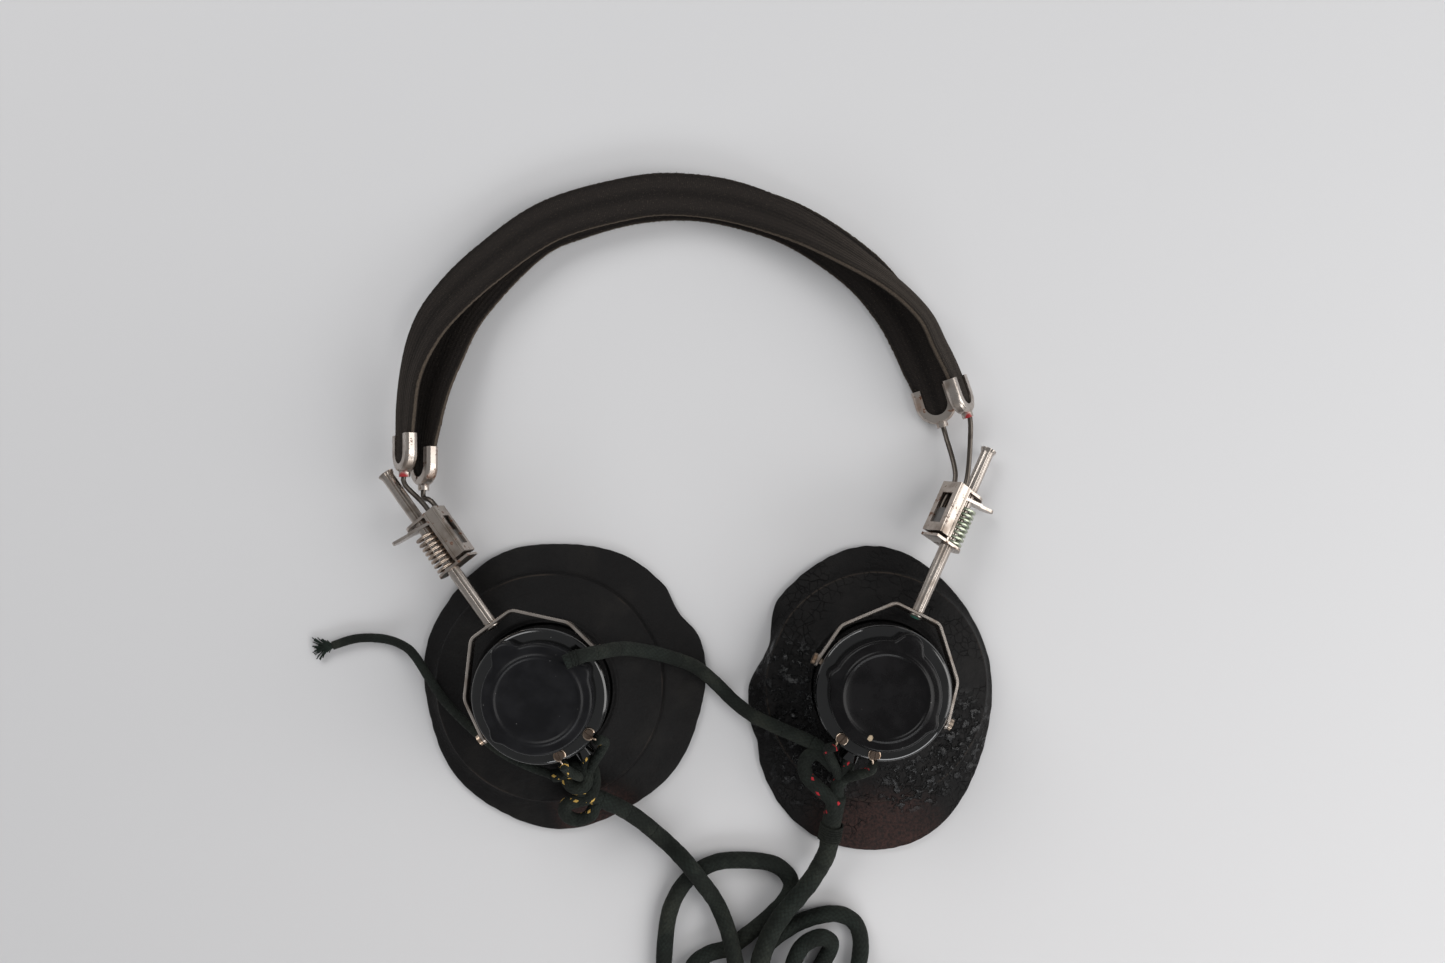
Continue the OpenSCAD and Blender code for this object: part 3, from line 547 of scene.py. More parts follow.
def turn(degrees, axis):
    """A turn about an axis."""
    return Matrix.Rotation(math.radians(degrees), 4, axis)


def on_receiver(side):
    """A receiver's own frame: its axis is Z and the rod leaves along Y."""
    return Matrix.Translation(RECEIVER_AT[side]) @ turn(ROD_TURN[side] - 90, "Z")


def on_yoke(side):
    """A yoke's own frame: X through the pivots and Y along the rod."""
    return on_receiver(side) @ Matrix.Translation((0, 0, PIVOT_Z)) @ turn(-ROD_DIP[side], "X")


def on_clamp(side):
    """A clamp's own frame: Y along the rod, from the clamp's lower flange."""
    rolled = turn(-INNER[side] * CLAMP_ROLL[side], "Y")
    flip = Matrix.Diagonal((INNER[side], 1, 1, 1))
    return on_yoke(side) @ Matrix.Translation((0, CLAMP_AT[side], 0)) @ rolled @ flip


# ---------------------------------------------------------------- headband

STRAP_FRONT = points(
    (-106, 17, 19.4, 58), (-106.2, 28, 18.6, 55), (-104.9, 50, 16.5, 54), (-100, 67, 14.5, 38),
    (-92, 80, 12.6, 24), (-77, 95.2, 10, 13), (-53.7, 111.7, 8.2, 8), (-25, 120.2, 7.6, 6),
    (-4.9, 122, 7.6, 6), (18.6, 118.3, 8.6, 12), (44.3, 107.3, 12.6, 36), (72, 89.2, 15.8, 60),
    (86.6, 75.9, 16.2, 64), (93, 63.9, 16.2, 64), (98.6, 52, 16.4, 62), (103, 39, 16.4, 60),
)
STRAP_BACK = points(
    (-100.2, 12, 13.4, 52), (-100.4, 24, 12.2, 46), (-98.6, 42, 10.4, 36), (-94.2, 58.3, 8.4, 25),
    (-84.3, 80.2, 5.4, 14), (-61.6, 105.2, 3.2, 3), (-42.5, 114.4, 2.6, -3), (-19.6, 120.3, 2.4, -5),
    (3.4, 121, 2.4, -5), (26.7, 116, 2.4, -5), (44.7, 108.3, 2.6, -6), (64.6, 94.2, 3, -8),
    (76.8, 80.2, 3.4, -8), (84, 67.8, 3.6, -8), (90.3, 53, 3.8, -8), (95.6, 36, 4, -8),
)
# The wires: where they enter a clamp, their points along it, and how far they leave a strap straight
WIRE_FRONT_IN = (6.2, 2.6)
WIRE_BACK_IN = (7.5, -2.6)
WIRE_IN_CLAMP = (7, 15.25, 26)
WIRE_PAST_STRAP = 5
WIRE_D = 1.9
CLIP_R = 6.1


def strap_half(to_end):
    """Half width of a strap this far from its nearer end: round in the clip, then full."""
    tip = CLIP_R + 0.5
    if to_end < tip:
        return max(1.2, math.sqrt(max(tip * tip - (tip - to_end) ** 2, 0)))
    return tip + (STRAP_W / 2 - tip) * min(1, (to_end - tip) / 16)


def strap_section(half, ragged):
    """Points round the ribbed section: the upper face, an edge, the lower face, the other edge."""
    across, edge, ribs, rib_h = 44, 8, 9, 0.16
    flat_half = half - 0.9
    thick = STRAP_T / 2 - 0.1
    face = []
    for k in range(across + 1):
        x = -1 + 2 * k / across
        rib = rib_h * abs(math.sin(ribs * math.pi * x / 2))
        face.append((flat_half * x, thick - 0.35 * x**6 + rib - rib_h / 2))
    bend = []
    drop = face[-1][1]
    for k in range(1, edge):
        a = math.pi * k / edge
        bend.append((flat_half + (0.9 + ragged) * math.sin(a), drop * math.cos(a)))
    upper = face + bend
    return upper + [(-x, -y) for x, y in upper]


def strap(name, controls, material):
    line = spline(controls, 0.9)
    far = lengths(line)
    form = Form()
    rings, across = [], None
    for i, p in enumerate(line):
        t = (line[min(i + 1, len(line) - 1)].xyz - line[max(i - 1, 0)].xyz).normalized()
        side = t.cross(UP).normalized()
        up = side.cross(t)
        roll = math.radians(p.w + 1.6 * noise.noise(Vector((far[i] * 0.05, 3.1, 0))))
        w = side * math.cos(roll) + up * math.sin(roll)
        n = up * math.cos(roll) - side * math.sin(roll)
        half = strap_half(min(far[i], far[-1] - far[i])) - 0.2
        ragged = 0.3 * noise.noise(Vector((far[i] * 0.9, len(name), 0)))
        section = strap_section(half, ragged)
        rings.append([p.xyz + w * x + n * y for x, y in section])
        across = across or [x for x, _ in section] + [section[0][0]]
        for edge in (-1, 1):
            if dice.random() < 0.75 and half > 7:
                root = p.xyz + w * edge * (half - 0.1) + n * dice.uniform(-0.9, 0.9)
                way = w * edge + t * dice.uniform(-1.2, 1.2) + n * dice.uniform(-0.8, 0.8)
                form.fibre(root, way, dice.uniform(0.3, 1.1))
    scale = STRAP_W / 2 / max(across)
    form.add(rings, far, [x * scale for x in across])
    made = form.piece(name + "_webbing", material, "webbing", [name])
    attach(made, "headband")


def band_wire(name, controls, at, material):
    """The wire from one clamp, through the strap, to the other clamp."""
    ends = {
        side: [on_clamp(side) @ Vector((at[0], y, at[1])) for y in WIRE_IN_CLAMP] for side in INNER
    }
    body = [p.xyz for p in controls]
    lead_in = body[0] + WIRE_PAST_STRAP * (body[0] - body[1]).normalized()
    lead_out = body[-1] + WIRE_PAST_STRAP * (body[-1] - body[-2]).normalized()
    line = spline(ends["left"] + [lead_in] + body + [lead_out] + ends["right"][::-1], 1.5)
    made = Form().tube(line, WIRE_D, 12).piece(name + "_round", material, "spring_wire", [name])
    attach(made, "headband")


# ---------------------------------------------------------------- clamps, rods and yokes


def clamp_spring(side, material):
    """The spring between lever and flange, with closed ends."""
    wire, mean_r, turns, steps = 1.1, 4.1, 8, 36
    low, high, off_axis = 1.6, 17.4, 0.8
    line = []
    for k in range(turns * steps + 1):
        share = k / (turns * steps)
        a = 2 * math.pi * k / steps
        closed = min(share, 1 - share) * turns
        lift = share + 0.012 * math.sin(2 * math.pi * share) * min(1, closed)
        height = low + (high - low) * lift
        line.append(Vector((mean_r * math.cos(a) - off_axis, height, mean_r * math.sin(a))))
    form = Form().tube(line, wire, 10, placed=on_clamp(side))
    made = form.piece(f"clamp_spring_{side}_wire", material, "spring_grey", [f"clamp_spring_{side}"])
    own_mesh(made)
    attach(made, "headband")


def slide_rod(side, material):
    """A tube rolled from sheet, with its seam, flared head and the rivet that holds the yoke."""
    foot, head, outer, bore = 32.2, 101.2, 2.4, 1.7
    seam_at = math.radians(78)
    profile = [
        (foot, 0.01, 0), (foot, outer - 0.2, 0), (foot + 0.3, outer, 1), (head - 2, outer, 1),
        (head - 1.2, outer + 0.25, 1), (head - 0.5, outer + 0.6, 1), (head - 0.1, 3.1, 0.4),
        (head, 2.9, 0.2), (head - 0.3, 2.4, 0), (head - 1.4, bore + 0.2, 0), (head - 3, bore, 0),
        (head - 14, bore, 0), (head - 14, 0.01, 0),
    ]
    sides = 96
    rings = []
    for y, r, seam in profile:
        ring = []
        for k in range(sides):
            a = 2 * math.pi * k / sides
            cut = 0.34 * seam * math.exp(-(((a - seam_at) / 0.075) ** 2))
            lip = 0.09 * seam * math.exp(-(((abs(a - seam_at) - 0.22) / 0.09) ** 2))
            ring.append(Vector(((r - cut + lip) * math.cos(a), y, (r - cut + lip) * math.sin(a))))
        rings.append(ring)
    form = Form().add(rings, [y for y, _, _ in profile], placed=on_yoke(side))
    rivet = [(30.8, 0), (30.8, 2.7), (30.4, 2.6), (30.0, 1.9), (29.8, 0)]
    across = on_yoke(side) @ turn(-90, "X")
    form.turned(rivet, 40, across)
    made = form.piece(f"slide_rod_{side}_tube", material, "nickel", [f"slide_rod_{side}"], 35)
    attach(made, f"{side}_rod")


def fillet(corners, radius, steps=6):
    """A line through corners, with each bend rounded."""
    line = [corners[0]]
    for before, corner, after in zip(corners, corners[1:], corners[2:]):
        a = corner + (before - corner).normalized() * radius
        b = corner + (after - corner).normalized() * radius
        for k in range(steps + 1):
            f = k / steps
            line.append(a * (1 - f) ** 2 + corner * 2 * f * (1 - f) + b * f * f)
    return line + [corners[-1]]


def yoke(side, material):
    """A nickel strip bent over the receiver, with round ends at the pivots."""
    width, thick, edge = 5, 1.3, 0.3
    pivot_x, bend_r = 26.2, 1.8
    half = points((pivot_x, 0, 0), (23.6, 15, 0), (9, 31.5, 0))
    corners = half + [Vector((-p.x, p.y, 0)) for p in half[::-1]]
    line = fillet(corners, bend_r)
    x, y = width / 2, thick / 2
    section = [
        (x, -y + edge), (x, y - edge), (x - edge, y), (-x + edge, y),
        (-x, y - edge), (-x, -y + edge), (-x + edge, -y), (x - edge, -y),
    ]
    rings = []
    for i, p in enumerate(line):
        t = (line[min(i + 1, len(line) - 1)] - line[max(i - 1, 0)]).normalized()
        out = t.cross(UP)
        rings.append([p + UP * a + out * b for a, b in section])
    form = Form().add(rings, lengths(line), placed=on_yoke(side))
    disc = [(-y, 0), (-y, x - edge), (-y + edge, x), (y - edge, x), (y, x - edge), (y, 0)]
    for way in (-1, 1):
        eye = on_yoke(side) @ Matrix.Translation((way * pivot_x, 0, 0)) @ turn(90, "Y")
        form.turned(disc, 40, eye)
    made = form.piece(f"yoke_{side}_strip", material, "nickel", [f"yoke_{side}"], 35)
    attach(made, f"{side}_yoke")


# ---------------------------------------------------------------- back caps


def cap_outline(a):
    """Radius of the cap at an angle: a circle with a lobe towards the rod and one at each side."""
    lobes = [(90, CAP_R - 1, 5.2), (-6, CAP_R - 1.8, 3.4), (186, CAP_R - 1.8, 3.4)]
    radius = CAP_R
    for at, away, r in lobes:
        off = math.radians((a - at + 540) % 360 - 180)
        reach = r * r - (away * math.sin(off)) ** 2
        if reach > 0 and math.cos(off) > 0:
            radius = max(radius, away * math.cos(off) + math.sqrt(reach))
    return radius


def back_cap(side, material):
    """The moulded cap: soft edge, a raised ring and a very slightly sunk middle."""
    sides, edge_r = 360, 1.5
    outline = [cap_outline(360 * k / sides) for k in range(sides)]
    soft = []
    for k in range(sides):
        nearby = [outline[(k + n) % sides] for n in range(-3, 4)]
        soft.append(sum(nearby) / len(nearby))
    top = CASE_TOP + CAP_H
    rows = [(0, CASE_TOP + 0.02)] + [
        (edge_r * (1 - math.cos(math.radians(b))), top - 2.1 + edge_r * math.sin(math.radians(b)))
        for b in range(0, 91, 15)
    ]
    rings = [[Vector((r - inset, 0, z)) for r in soft] for inset, z in rows]
    inner = [
        (17.4, -0.55), (16.7, -0.5), (16.3, -0.3), (16.0, -0.06), (15.6, 0), (15.2, -0.06),
        (14.9, -0.35), (14.3, -0.58), (12, -0.62), (6, -0.66), (0.05, -0.66),
    ]
    rings += [[Vector((r, 0, top + z))] * sides for r, z in inner]
    spokes = circle(1, sides)
    turned = [
        [Vector((p.x * x, p.x * y, p.z)) for (x, y), p in zip(spokes, ring)] for ring in rings
    ]
    form = Form().add(turned, [ring[0].z for ring in turned], placed=on_receiver(side))
    made = form.piece(f"back_cap_{side}_moulding", material, "cap_bakelite", [f"back_cap_{side}"], 60)
    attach(made, f"{side}_receiver")


# ---------------------------------------------------------------- ear cushions

BRIM_AT = {"left": Vector((5.2, 0.3)), "right": Vector((-1.9, -6.9))}
BRIM = {"left": (53.8, 54.6), "right": (46.7, 58.2)}


def cushion_profile():
    """From the neck out to the brim and back under it: radius, height, share of the brim."""
    return [
        (CASE_R + 0.3, CUSHION_H, 0), (CASE_R + 1.2, CUSHION_H + 0.1, 0),
        (CASE_R + 2.4, CUSHION_H, 0), (CASE_R + 3.8, CUSHION_H - 1.2, 0),
        (CASE_R + 9, 13, 0.1), (STEP_R - 1.5, 10.8, 0.25), (STEP_R, 10, 0.3), (STEP_R + 0.8, 7, 0.35),
        (0, 4.6, 0.68), (0, 2.6, 0.97), (0, 1.4, 1), (0, 0, 0.97), (0, 0, 0.86), (0, 2.2, 0.72),
        (STEP_R - 3, 4.6, 0.3), (STEP_R - 6, 8.6, 0.2), (CASE_R + 3, 11.6, 0), (CASE_R - 1.6, 12.6, 0),
        (CASE_R - 3, LEDGE_Z - 1.2, 0), (CASE_R - 3, LEDGE_Z, 0), (CASE_R + 0.3, LEDGE_Z, 0),
    ]


def dent(a, at, wide, deep):
    """A smooth hollow in the brim at one angle."""
    d = abs((a - at + 540) % 360 - 180)
    return -deep * (0.5 + 0.5 * math.cos(math.pi * d / wide)) if d < wide else 0


def brim_wave(side, a):
    """How far the perished brim is out of round at an angle."""
    def wave(count, shift=0):
        return math.sin(math.radians(count * a + shift))

    if side == "left":
        return 0.8 * wave(3, 40) + 0.5 * wave(7) + dent(a, 31, 14, 2.4)
    return 0.6 * wave(5, 20) + dent(a, 158, 20, 5.4) + dent(a, 197, 9, 1.2)


def closed_spline(controls, per):
    """A smooth loop through the controls, with `per` points to each."""
    n = len(controls)
    loop = []
    for i in range(n):
        a, b, c, d = (controls[(i + k) % n] for k in (-1, 0, 1, 2))
        loop += [between(a, b, c, d, k / per) for k in range(per)]
    return loop


def from_middle(p, side):
    """How far a place is from the receiver's axis."""
    return (p - RECEIVER_AT[side]).xy.length


def wrinkle(side, p, angle, out):
    """How far aged rubber has risen or sunk at a place: creases, blisters and pits."""
    rise = 0.28 * noise.noise(p / 9) + 0.10 * noise.noise(p / 2.6)
    creased = {"left": (248, 46, 0.75), "right": (200, 60, 0.6)}[side]
    zone = max(0, 1 - abs((angle - creased[0] + 540) % 360 - 180) / creased[1])
    if side == "right":
        molten = max(zone, smooth(angle, 280, 310) - smooth(angle, 345, 359))
        near_case = max(0, 1 - abs(from_middle(p, side) - 33) / 11)
        rise += molten * near_case * (1.5 * noise.noise(p / 3.6) + 0.8 * noise.noise(p / 1.8))
    folds = abs(noise.noise(Vector((p.x * 0.16, p.y * 0.42, 5.0))))
    pits = abs(noise.noise(p / 1.9))
    return rise + zone * out * creased[2] * (0.9 * folds - 0.5 * pits)


def ear_cushion(side, material):
    """A rubber cushion: its profile, turned round the receiver and pulled out to the uneven brim."""
    around, per = 420, CUSHION_STEPS
    centre = RECEIVER_AT[side]
    rings = []
    for j in range(around + 1):
        a = 2 * math.pi * (j % around) / around
        angle = math.degrees(a)
        ray = Vector((math.cos(a), math.sin(a)))
        nick = 0.22 * noise.noise(Vector((ray.x * 14, ray.y * 14, len(side))))
        reach = [BRIM[side][k] + brim_wave(side, angle) + nick for k in (0, 1)]
        rim = BRIM_AT[side] + Vector((reach[0] * ray.x, reach[1] * ray.y))
        loop = []
        for radius, height, share in cushion_profile():
            neck = (radius or STEP_R + 0.8) * ray
            flat = neck + (rim - neck) * (share * 0.5 if radius else (share - 0.35) / 0.65)
            loop.append(Vector((flat.x, flat.y, height)))
        ring = []
        for p in closed_spline(loop, per):
            out = min(1, max(0, (p.xy.length - CASE_R - 5) / 12))
            loose = min(1, max(0, (p.z - 1.2) / 3)) * min(1, max(0, (p.xy.length - CASE_R - 1) / 3))
            p.z = max(0, p.z + loose * wrinkle(side, p + centre, angle, out))
            ring.append(p + centre)
        rings.append(ring)
    form = Form()
    sides = len(rings[0])
    form.corners = [p for ring in rings[:-1] for p in ring]
    for j in range(around):
        for k in range(sides):
            n, b = (k + 1) % sides, (j + 1) % around
            form.faces.append((j * sides + k, b * sides + k, b * sides + n, j * sides + n))
            form.uvs += [(j, k), (j + 1, k), (j + 1, k + 1), (j, k + 1)]
    made = form.piece(f"ear_cushion_{side}_rubber", material, f"rubber_{side}", [f"ear_cushion_{side}"])
    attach(made, f"{side}_receiver")


# ---------------------------------------------------------------- cords

TIE = points(
    (-147, -53.6, 2), (-138.2, -50.2, 1.9), (-128, -47.2, 1.9), (-117.5, -47.4, 2.2),
    (-109.5, -49.8, 4.8), (-104.4, -53.4, 8.4), (-98.6, -61, 11.6), (-92, -69, 15.4),
    (-84.4, -76, 18.2), (-77, -82.2, 19.4), (-68.4, -88.4, 19.6), (-59, -93, 19.4), (-50.6, -96.2, 19),
)
LINK = points(
    (-43.7, -50.8, 45.4), (-38.5, -48.8, 44.4), (-32, -48, 38.8), (-24.4, -48, 28),
    (-16.6, -50, 19.2), (-8.4, -52.8, 13), (-0.3, -56.1, 9.2), (4.8, -59.6, 7), (10.3, -65, 3.6),
    (16, -70.6, 4.2), (23, -75.4, 8.8), (29.9, -78.2, 12.8), (37.7, -81, 17), (45.3, -84, 20),
    (51, -88, 21.6), (53.4, -92.6, 22),
)
LEFT_LEAD = points(
    (-33.6, -105.2, 16.8), (-30, -107.4, 15.2), (-25.9, -110, 12.4), (-19.3, -115.4, 8),
    (-10, -124.3, 4), (-3.4, -129.6, 8), (0.5, -133.6, 10.2), (4.2, -138.8, 9), (9.5, -147.5, 4.6),
    (13.7, -156.3, 7.6), (16, -164.6, 10), (17.6, -174, 10), (17.6, -184, 10.4), (17.4, -192, 9.4),
    (17.4, -199, 5.4),
)
RIGHT_LEAD = points(
    (53.2, -112.6, 14), (52.6, -120, 11.4), (51.6, -127, 9.4), (49, -133.4, 6.6), (45, -138.6, 9.4),
    (40.5, -143.5, 11.2), (36.2, -148.6, 10.8), (32.3, -154, 10.6), (29, -160, 10.8),
    (26.4, -168, 10.8), (25, -176, 10.8), (24.8, -184, 10.8), (24.8, -192, 10.4), (24.8, -199, 5.6),
)
TRUNK = points(
    (21, -216, 4), (17.6, -222, 3.2), (8, -225, 3.2), (-3, -218, 3.2), (-8.6, -200, 3.2),
    (-10.4, -182, 3.2), (-10, -164, 3.2), (-7.7, -150, 3.2), (-1.4, -139.4, 3.2), (8.7, -133, 3.2),
    (20.6, -131.9, 3.2), (32, -133.6, 3.2), (38, -139.5, 3.2), (36.6, -146.4, 3.2),
    (29.4, -154, 3.2), (21.8, -160.2, 3.2), (14.5, -165.4, 3.2), (6.6, -167.8, 3.2),
    (0.4, -173, 3.2), (0.6, -182, 3.2), (7, -188.2, 3.2), (19, -189, 3.2), (33, -191.6, 3.2),
    (48, -191, 3.2), (60, -184, 3.2), (64, -172, 3.2), (64.8, -162, 3.2), (62, -155.2, 3.2),
    (55, -152.4, 3.2), (44.6, -154.4, 3.2), (35, -159.4, 3.2), (27.8, -166, 3.2),
    (25.6, -173, 3.2), (28, -179.4, 3.2), (36, -181.6, 3.2), (45.6, -177.6, 3.2),
    (51.2, -169.6, 3.2), (53.4, -163, 5.4), (49, -160, 7.6), (42.6, -163.6, 6.4),
    (38.8, -170.6, 7.4), (38.2, -179, 9.8), (39.4, -187, 9.8), (41, -194, 9.4), (42.8, -203, 4.6),
    (41.6, -214, 3.2), (41, -222, 3.2),
)
TAIL = points(
    (86, -263.8, 9), (96, -265, 7.6), (105, -265.6, 6.6), (112, -265.6, 7.2), (118, -265.4, 7.5)
)
JUNCTION = points((21, -199.6, 5.4), (21, -215.6, 4.2))
COLLAR = points((53.1, -115.6, 13.2), (52.3, -122, 10.9))


def wound_turns():
    """The wound part of the trunk: outer then inner column, then back out on top of them."""
    outer, inner, low, high = COIL_R + 3.2, COIL_R - 3.2, 3.2, 9.3
    turns = []
    for a in range(180, 1711, 10):
        inward = smooth(a, 470, 545) - smooth(a, 1190, 1265)
        r = outer + (inner - outer) * inward
        z = low + (high - low) * smooth(a, 835, 905)
        turns.append(COIL_AT + Vector((r * math.cos(math.radians(a)), r * math.sin(math.radians(a)), z)))
    return turns


def cut_at(line, far_mm):
    """The index of the point this far along a line."""
    far = lengths(line)
    return min(range(len(line)), key=lambda i: abs(far[i] - far_mm))


def add_fuzz(form, line, diameter, per_mm):
    """Loose fibres that stand off a cord."""
    far = lengths(line)
    frames = untwisted(line)
    for _ in range(int(far[-1] * per_mm)):
        i = dice.randrange(len(line))
        t, side, up = frames[i]
        a = dice.uniform(0, 2 * math.pi)
        out = side * math.cos(a) + up * math.sin(a)
        root = line[i] + out * (diameter / 2 - 0.05)
        if root.z + out.z * 0.8 > 0.1:
            form.fibre(root, out + t * dice.uniform(-1.6, 1.6), dice.uniform(0.3, 0.9), 0.04)


def braided(name, line, diameter, material, from_u=0.0, replaces=(), per_mm=1.2):
    """A braided cord with its fuzz."""
    form = Form().tube(line, diameter, 22, from_u, wobble=0.05)
    add_fuzz(form, line, diameter, per_mm)
    return form.piece(name, material, "cord", replaces)


def chained(name, line, diameter, material, bodies, cuts, replaces):
    """A cord cut where it passes from joint to joint, into one length for each pair of bodies."""
    stops = [0] + [cut_at(line, c) for c in cuts] + [len(line) - 1]
    far = lengths(line)
    made, parts = [], []
    for k, (a, b) in enumerate(zip(bodies, bodies[1:])):
        part = line[stops[k] : stops[k + 1] + 1]
        parts.append(part)
        label = name if k == 0 else f"{name}_part_{k + 1}"
        piece = braided(label, part, diameter, material, far[stops[k]], replaces if k == 0 else ())
        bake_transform(piece)
        made.append(piece)
    return made, parts


def frayed(name, end, way, material, spread, body, count=80):
    """Loose cotton strands that fan out of a cut cord end."""
    form = Form()
    way = way.normalized()
    side = way.cross(UP).normalized()
    for _ in range(count):
        sway, lift = dice.uniform(-spread, spread), dice.uniform(-0.15, 0.35)
        reach = dice.uniform(3.5, STRANDS)
        root = end - way * 1.5 + side * sway * 1.6 + UP * lift
        mid = root + (way + side * sway * 0.5) * reach * 0.55 + UP * (lift + 0.3)
        tip = root + (way + side * sway * 1.3).normalized() * reach
        tip.z = max(0.3, tip.z - 0.6)
        mid.z = max(0.4, mid.z)
        form.tube(spline([root, mid, tip], 1.5), 0.4, 6)
    made = form.piece(name, material, "cord")
    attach(made, body)
    return made


def whipping(name, a, b, radius, material, body, replaces=()):
    """Thread wound tight round a cord, turn by turn."""
    along = b - a
    t = along.normalized()
    side = t.cross(UP).normalized()
    up = side.cross(t)
    thread, steps = 0.9, 24
    turns = int(along.length / thread)
    line = []
    for k in range(turns * steps + 1):
        turned = 2 * math.pi * k / steps
        line.append(
            a + along * k / (turns * steps) + radius * (side * math.cos(turned) + up * math.sin(turned))
        )
    made = Form().tube(line, thread * 1.05, 6).piece(name, material, "cord", replaces)
    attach(made, body)
    return made


KNOTS = {
    "left": [
        (5.0, points(
            (-50.6, -96.2, 19), (-46, -95.4, 20.6), (-41.6, -92.4, 22), (-38.4, -94.6, 22.4),
            (-38.6, -99, 22.2), (-42.6, -100.2, 21.6), (-45.6, -97.2, 20), (-44.6, -92.6, 18.4),
            (-40.4, -91, 18), (-36.4, -94, 19), (-35.6, -99.4, 20.6), (-37.6, -104, 20.6),
            (-42, -105.4, 20), (-46, -107, 18.8), (-46.4, -111, 17.6), (-42.2, -113.2, 17),
            (-37.6, -111.6, 17.4), (-35.4, -107.8, 17.6), (-33.6, -105.2, 16.8),
        )),
        (6.4, points((-41, -101, 20), (-37.4, -103.2, 19), (-33.4, -105.3, 16.7))),
    ],
    "right": [
        (5.4, points(
            (53.4, -92.6, 22), (49.6, -88.6, 22), (45.6, -87.8, 20.4), (42.6, -91.4, 18.8),
            (43.4, -96.6, 18.6), (47.4, -100.6, 19.6), (52, -104.6, 19.6), (53.4, -109, 17.4),
            (53.2, -112.6, 14),
        )),
        (5.0, points(
            (58.6, -91.6, 20.4), (57.6, -95.8, 20.6), (54.8, -99.6, 20.2), (54.6, -104, 17.8),
            (54.4, -108.6, 15.8),
        )),
        (7.2, points((54.4, -104, 18), (54, -108.4, 16.4), (53.2, -112.8, 13.9))),
    ],
}


def knot(side, material):
    """The loops of one knot, as one piece."""
    form = Form()
    for diameter, controls in KNOTS[side]:
        line = spline(controls, 0.7)
        form.tube(line, diameter, 20, wobble=0.08)
        add_fuzz(form, line, diameter, 2.0)
    made = form.piece(f"knot_{side}_loops", material, "cord", [f"knot_{side}"])
    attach(made, f"{side}_receiver")


def inner_leads(side, material, wire_material):
    """Pigtails from the two terminals and the bush to the knot, with bared wire at the screws."""
    place = on_receiver(side)
    into = {"left": Vector((-39, -97, 20)), "right": Vector((55.6, -97.4, 19.6))}[side]
    form, wires = Form(), Form()
    bush_lead_d, pigtail_d, wire_d = 4.2, 3.6, 0.8
    bush = place @ Vector((0, -CASE_R - 2.6, CASE_Z + 6))
    form.tube(spline([bush, (bush + into) / 2 + UP * 0.6, into], 0.7), bush_lead_d, 18, wobble=0.08)
    for way in (-1, 1):
        stud = place @ turn(-90 + 17 * way, "Z") @ Vector((22.3, 0, CASE_TOP + 0.9))
        out = (stud - RECEIVER_AT[side]).xy.normalized().to_3d()
        first = stud + out * 3.6 - UP * 0.6
        bend = first + out * 3.2 - UP * 5
        line = spline([first, bend, (bend + into) / 2 + UP * 1.4, into], 0.7)
        form.tube(line, pigtail_d, 18, from_u=way * 4.0, wobble=0.08)
        add_fuzz(form, line, pigtail_d, 2.0)
        eye = [stud + 2.0 * (turn(a, "Z") @ out) - UP * 0.5 for a in range(-310, 1, 20)]
        wires.tube(eye + spline([eye[-1] + out * 0.4, first - out * 0.2], 0.5), wire_d, 8)
    made = form.piece(f"inner_leads_{side}_braid", material, "cord", [f"inner_leads_{side}"])
    bared = wires.piece(f"inner_leads_{side}_wire", wire_material, "brass")
    for obj in (made, bared):
        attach(obj, f"{side}_receiver")


def coil_tie(material):
    """Two turns of thin cord over the wound part of the trunk."""
    form = Form()
    for shift in (-1.0, 1.0):
        place = Matrix.Translation(COIL_AT) @ turn(40, "Z") @ Matrix.Translation((COIL_R, shift, 0))
        arch = points((-7.6, 0, 1), (-7.7, 0, 9), (-6.2, 0, 12.7), (0, 0, 13.4), (6.2, 0, 12.7),
                      (7.7, 0, 9), (7.6, 0, 1))
        form.tube([place @ p for p in spline(arch, 0.8)], 1.8, 12)
    made = form.piece("coil_tie_cord", material, "cord", ["coil_tie"])
    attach(made, "headband")
    return made


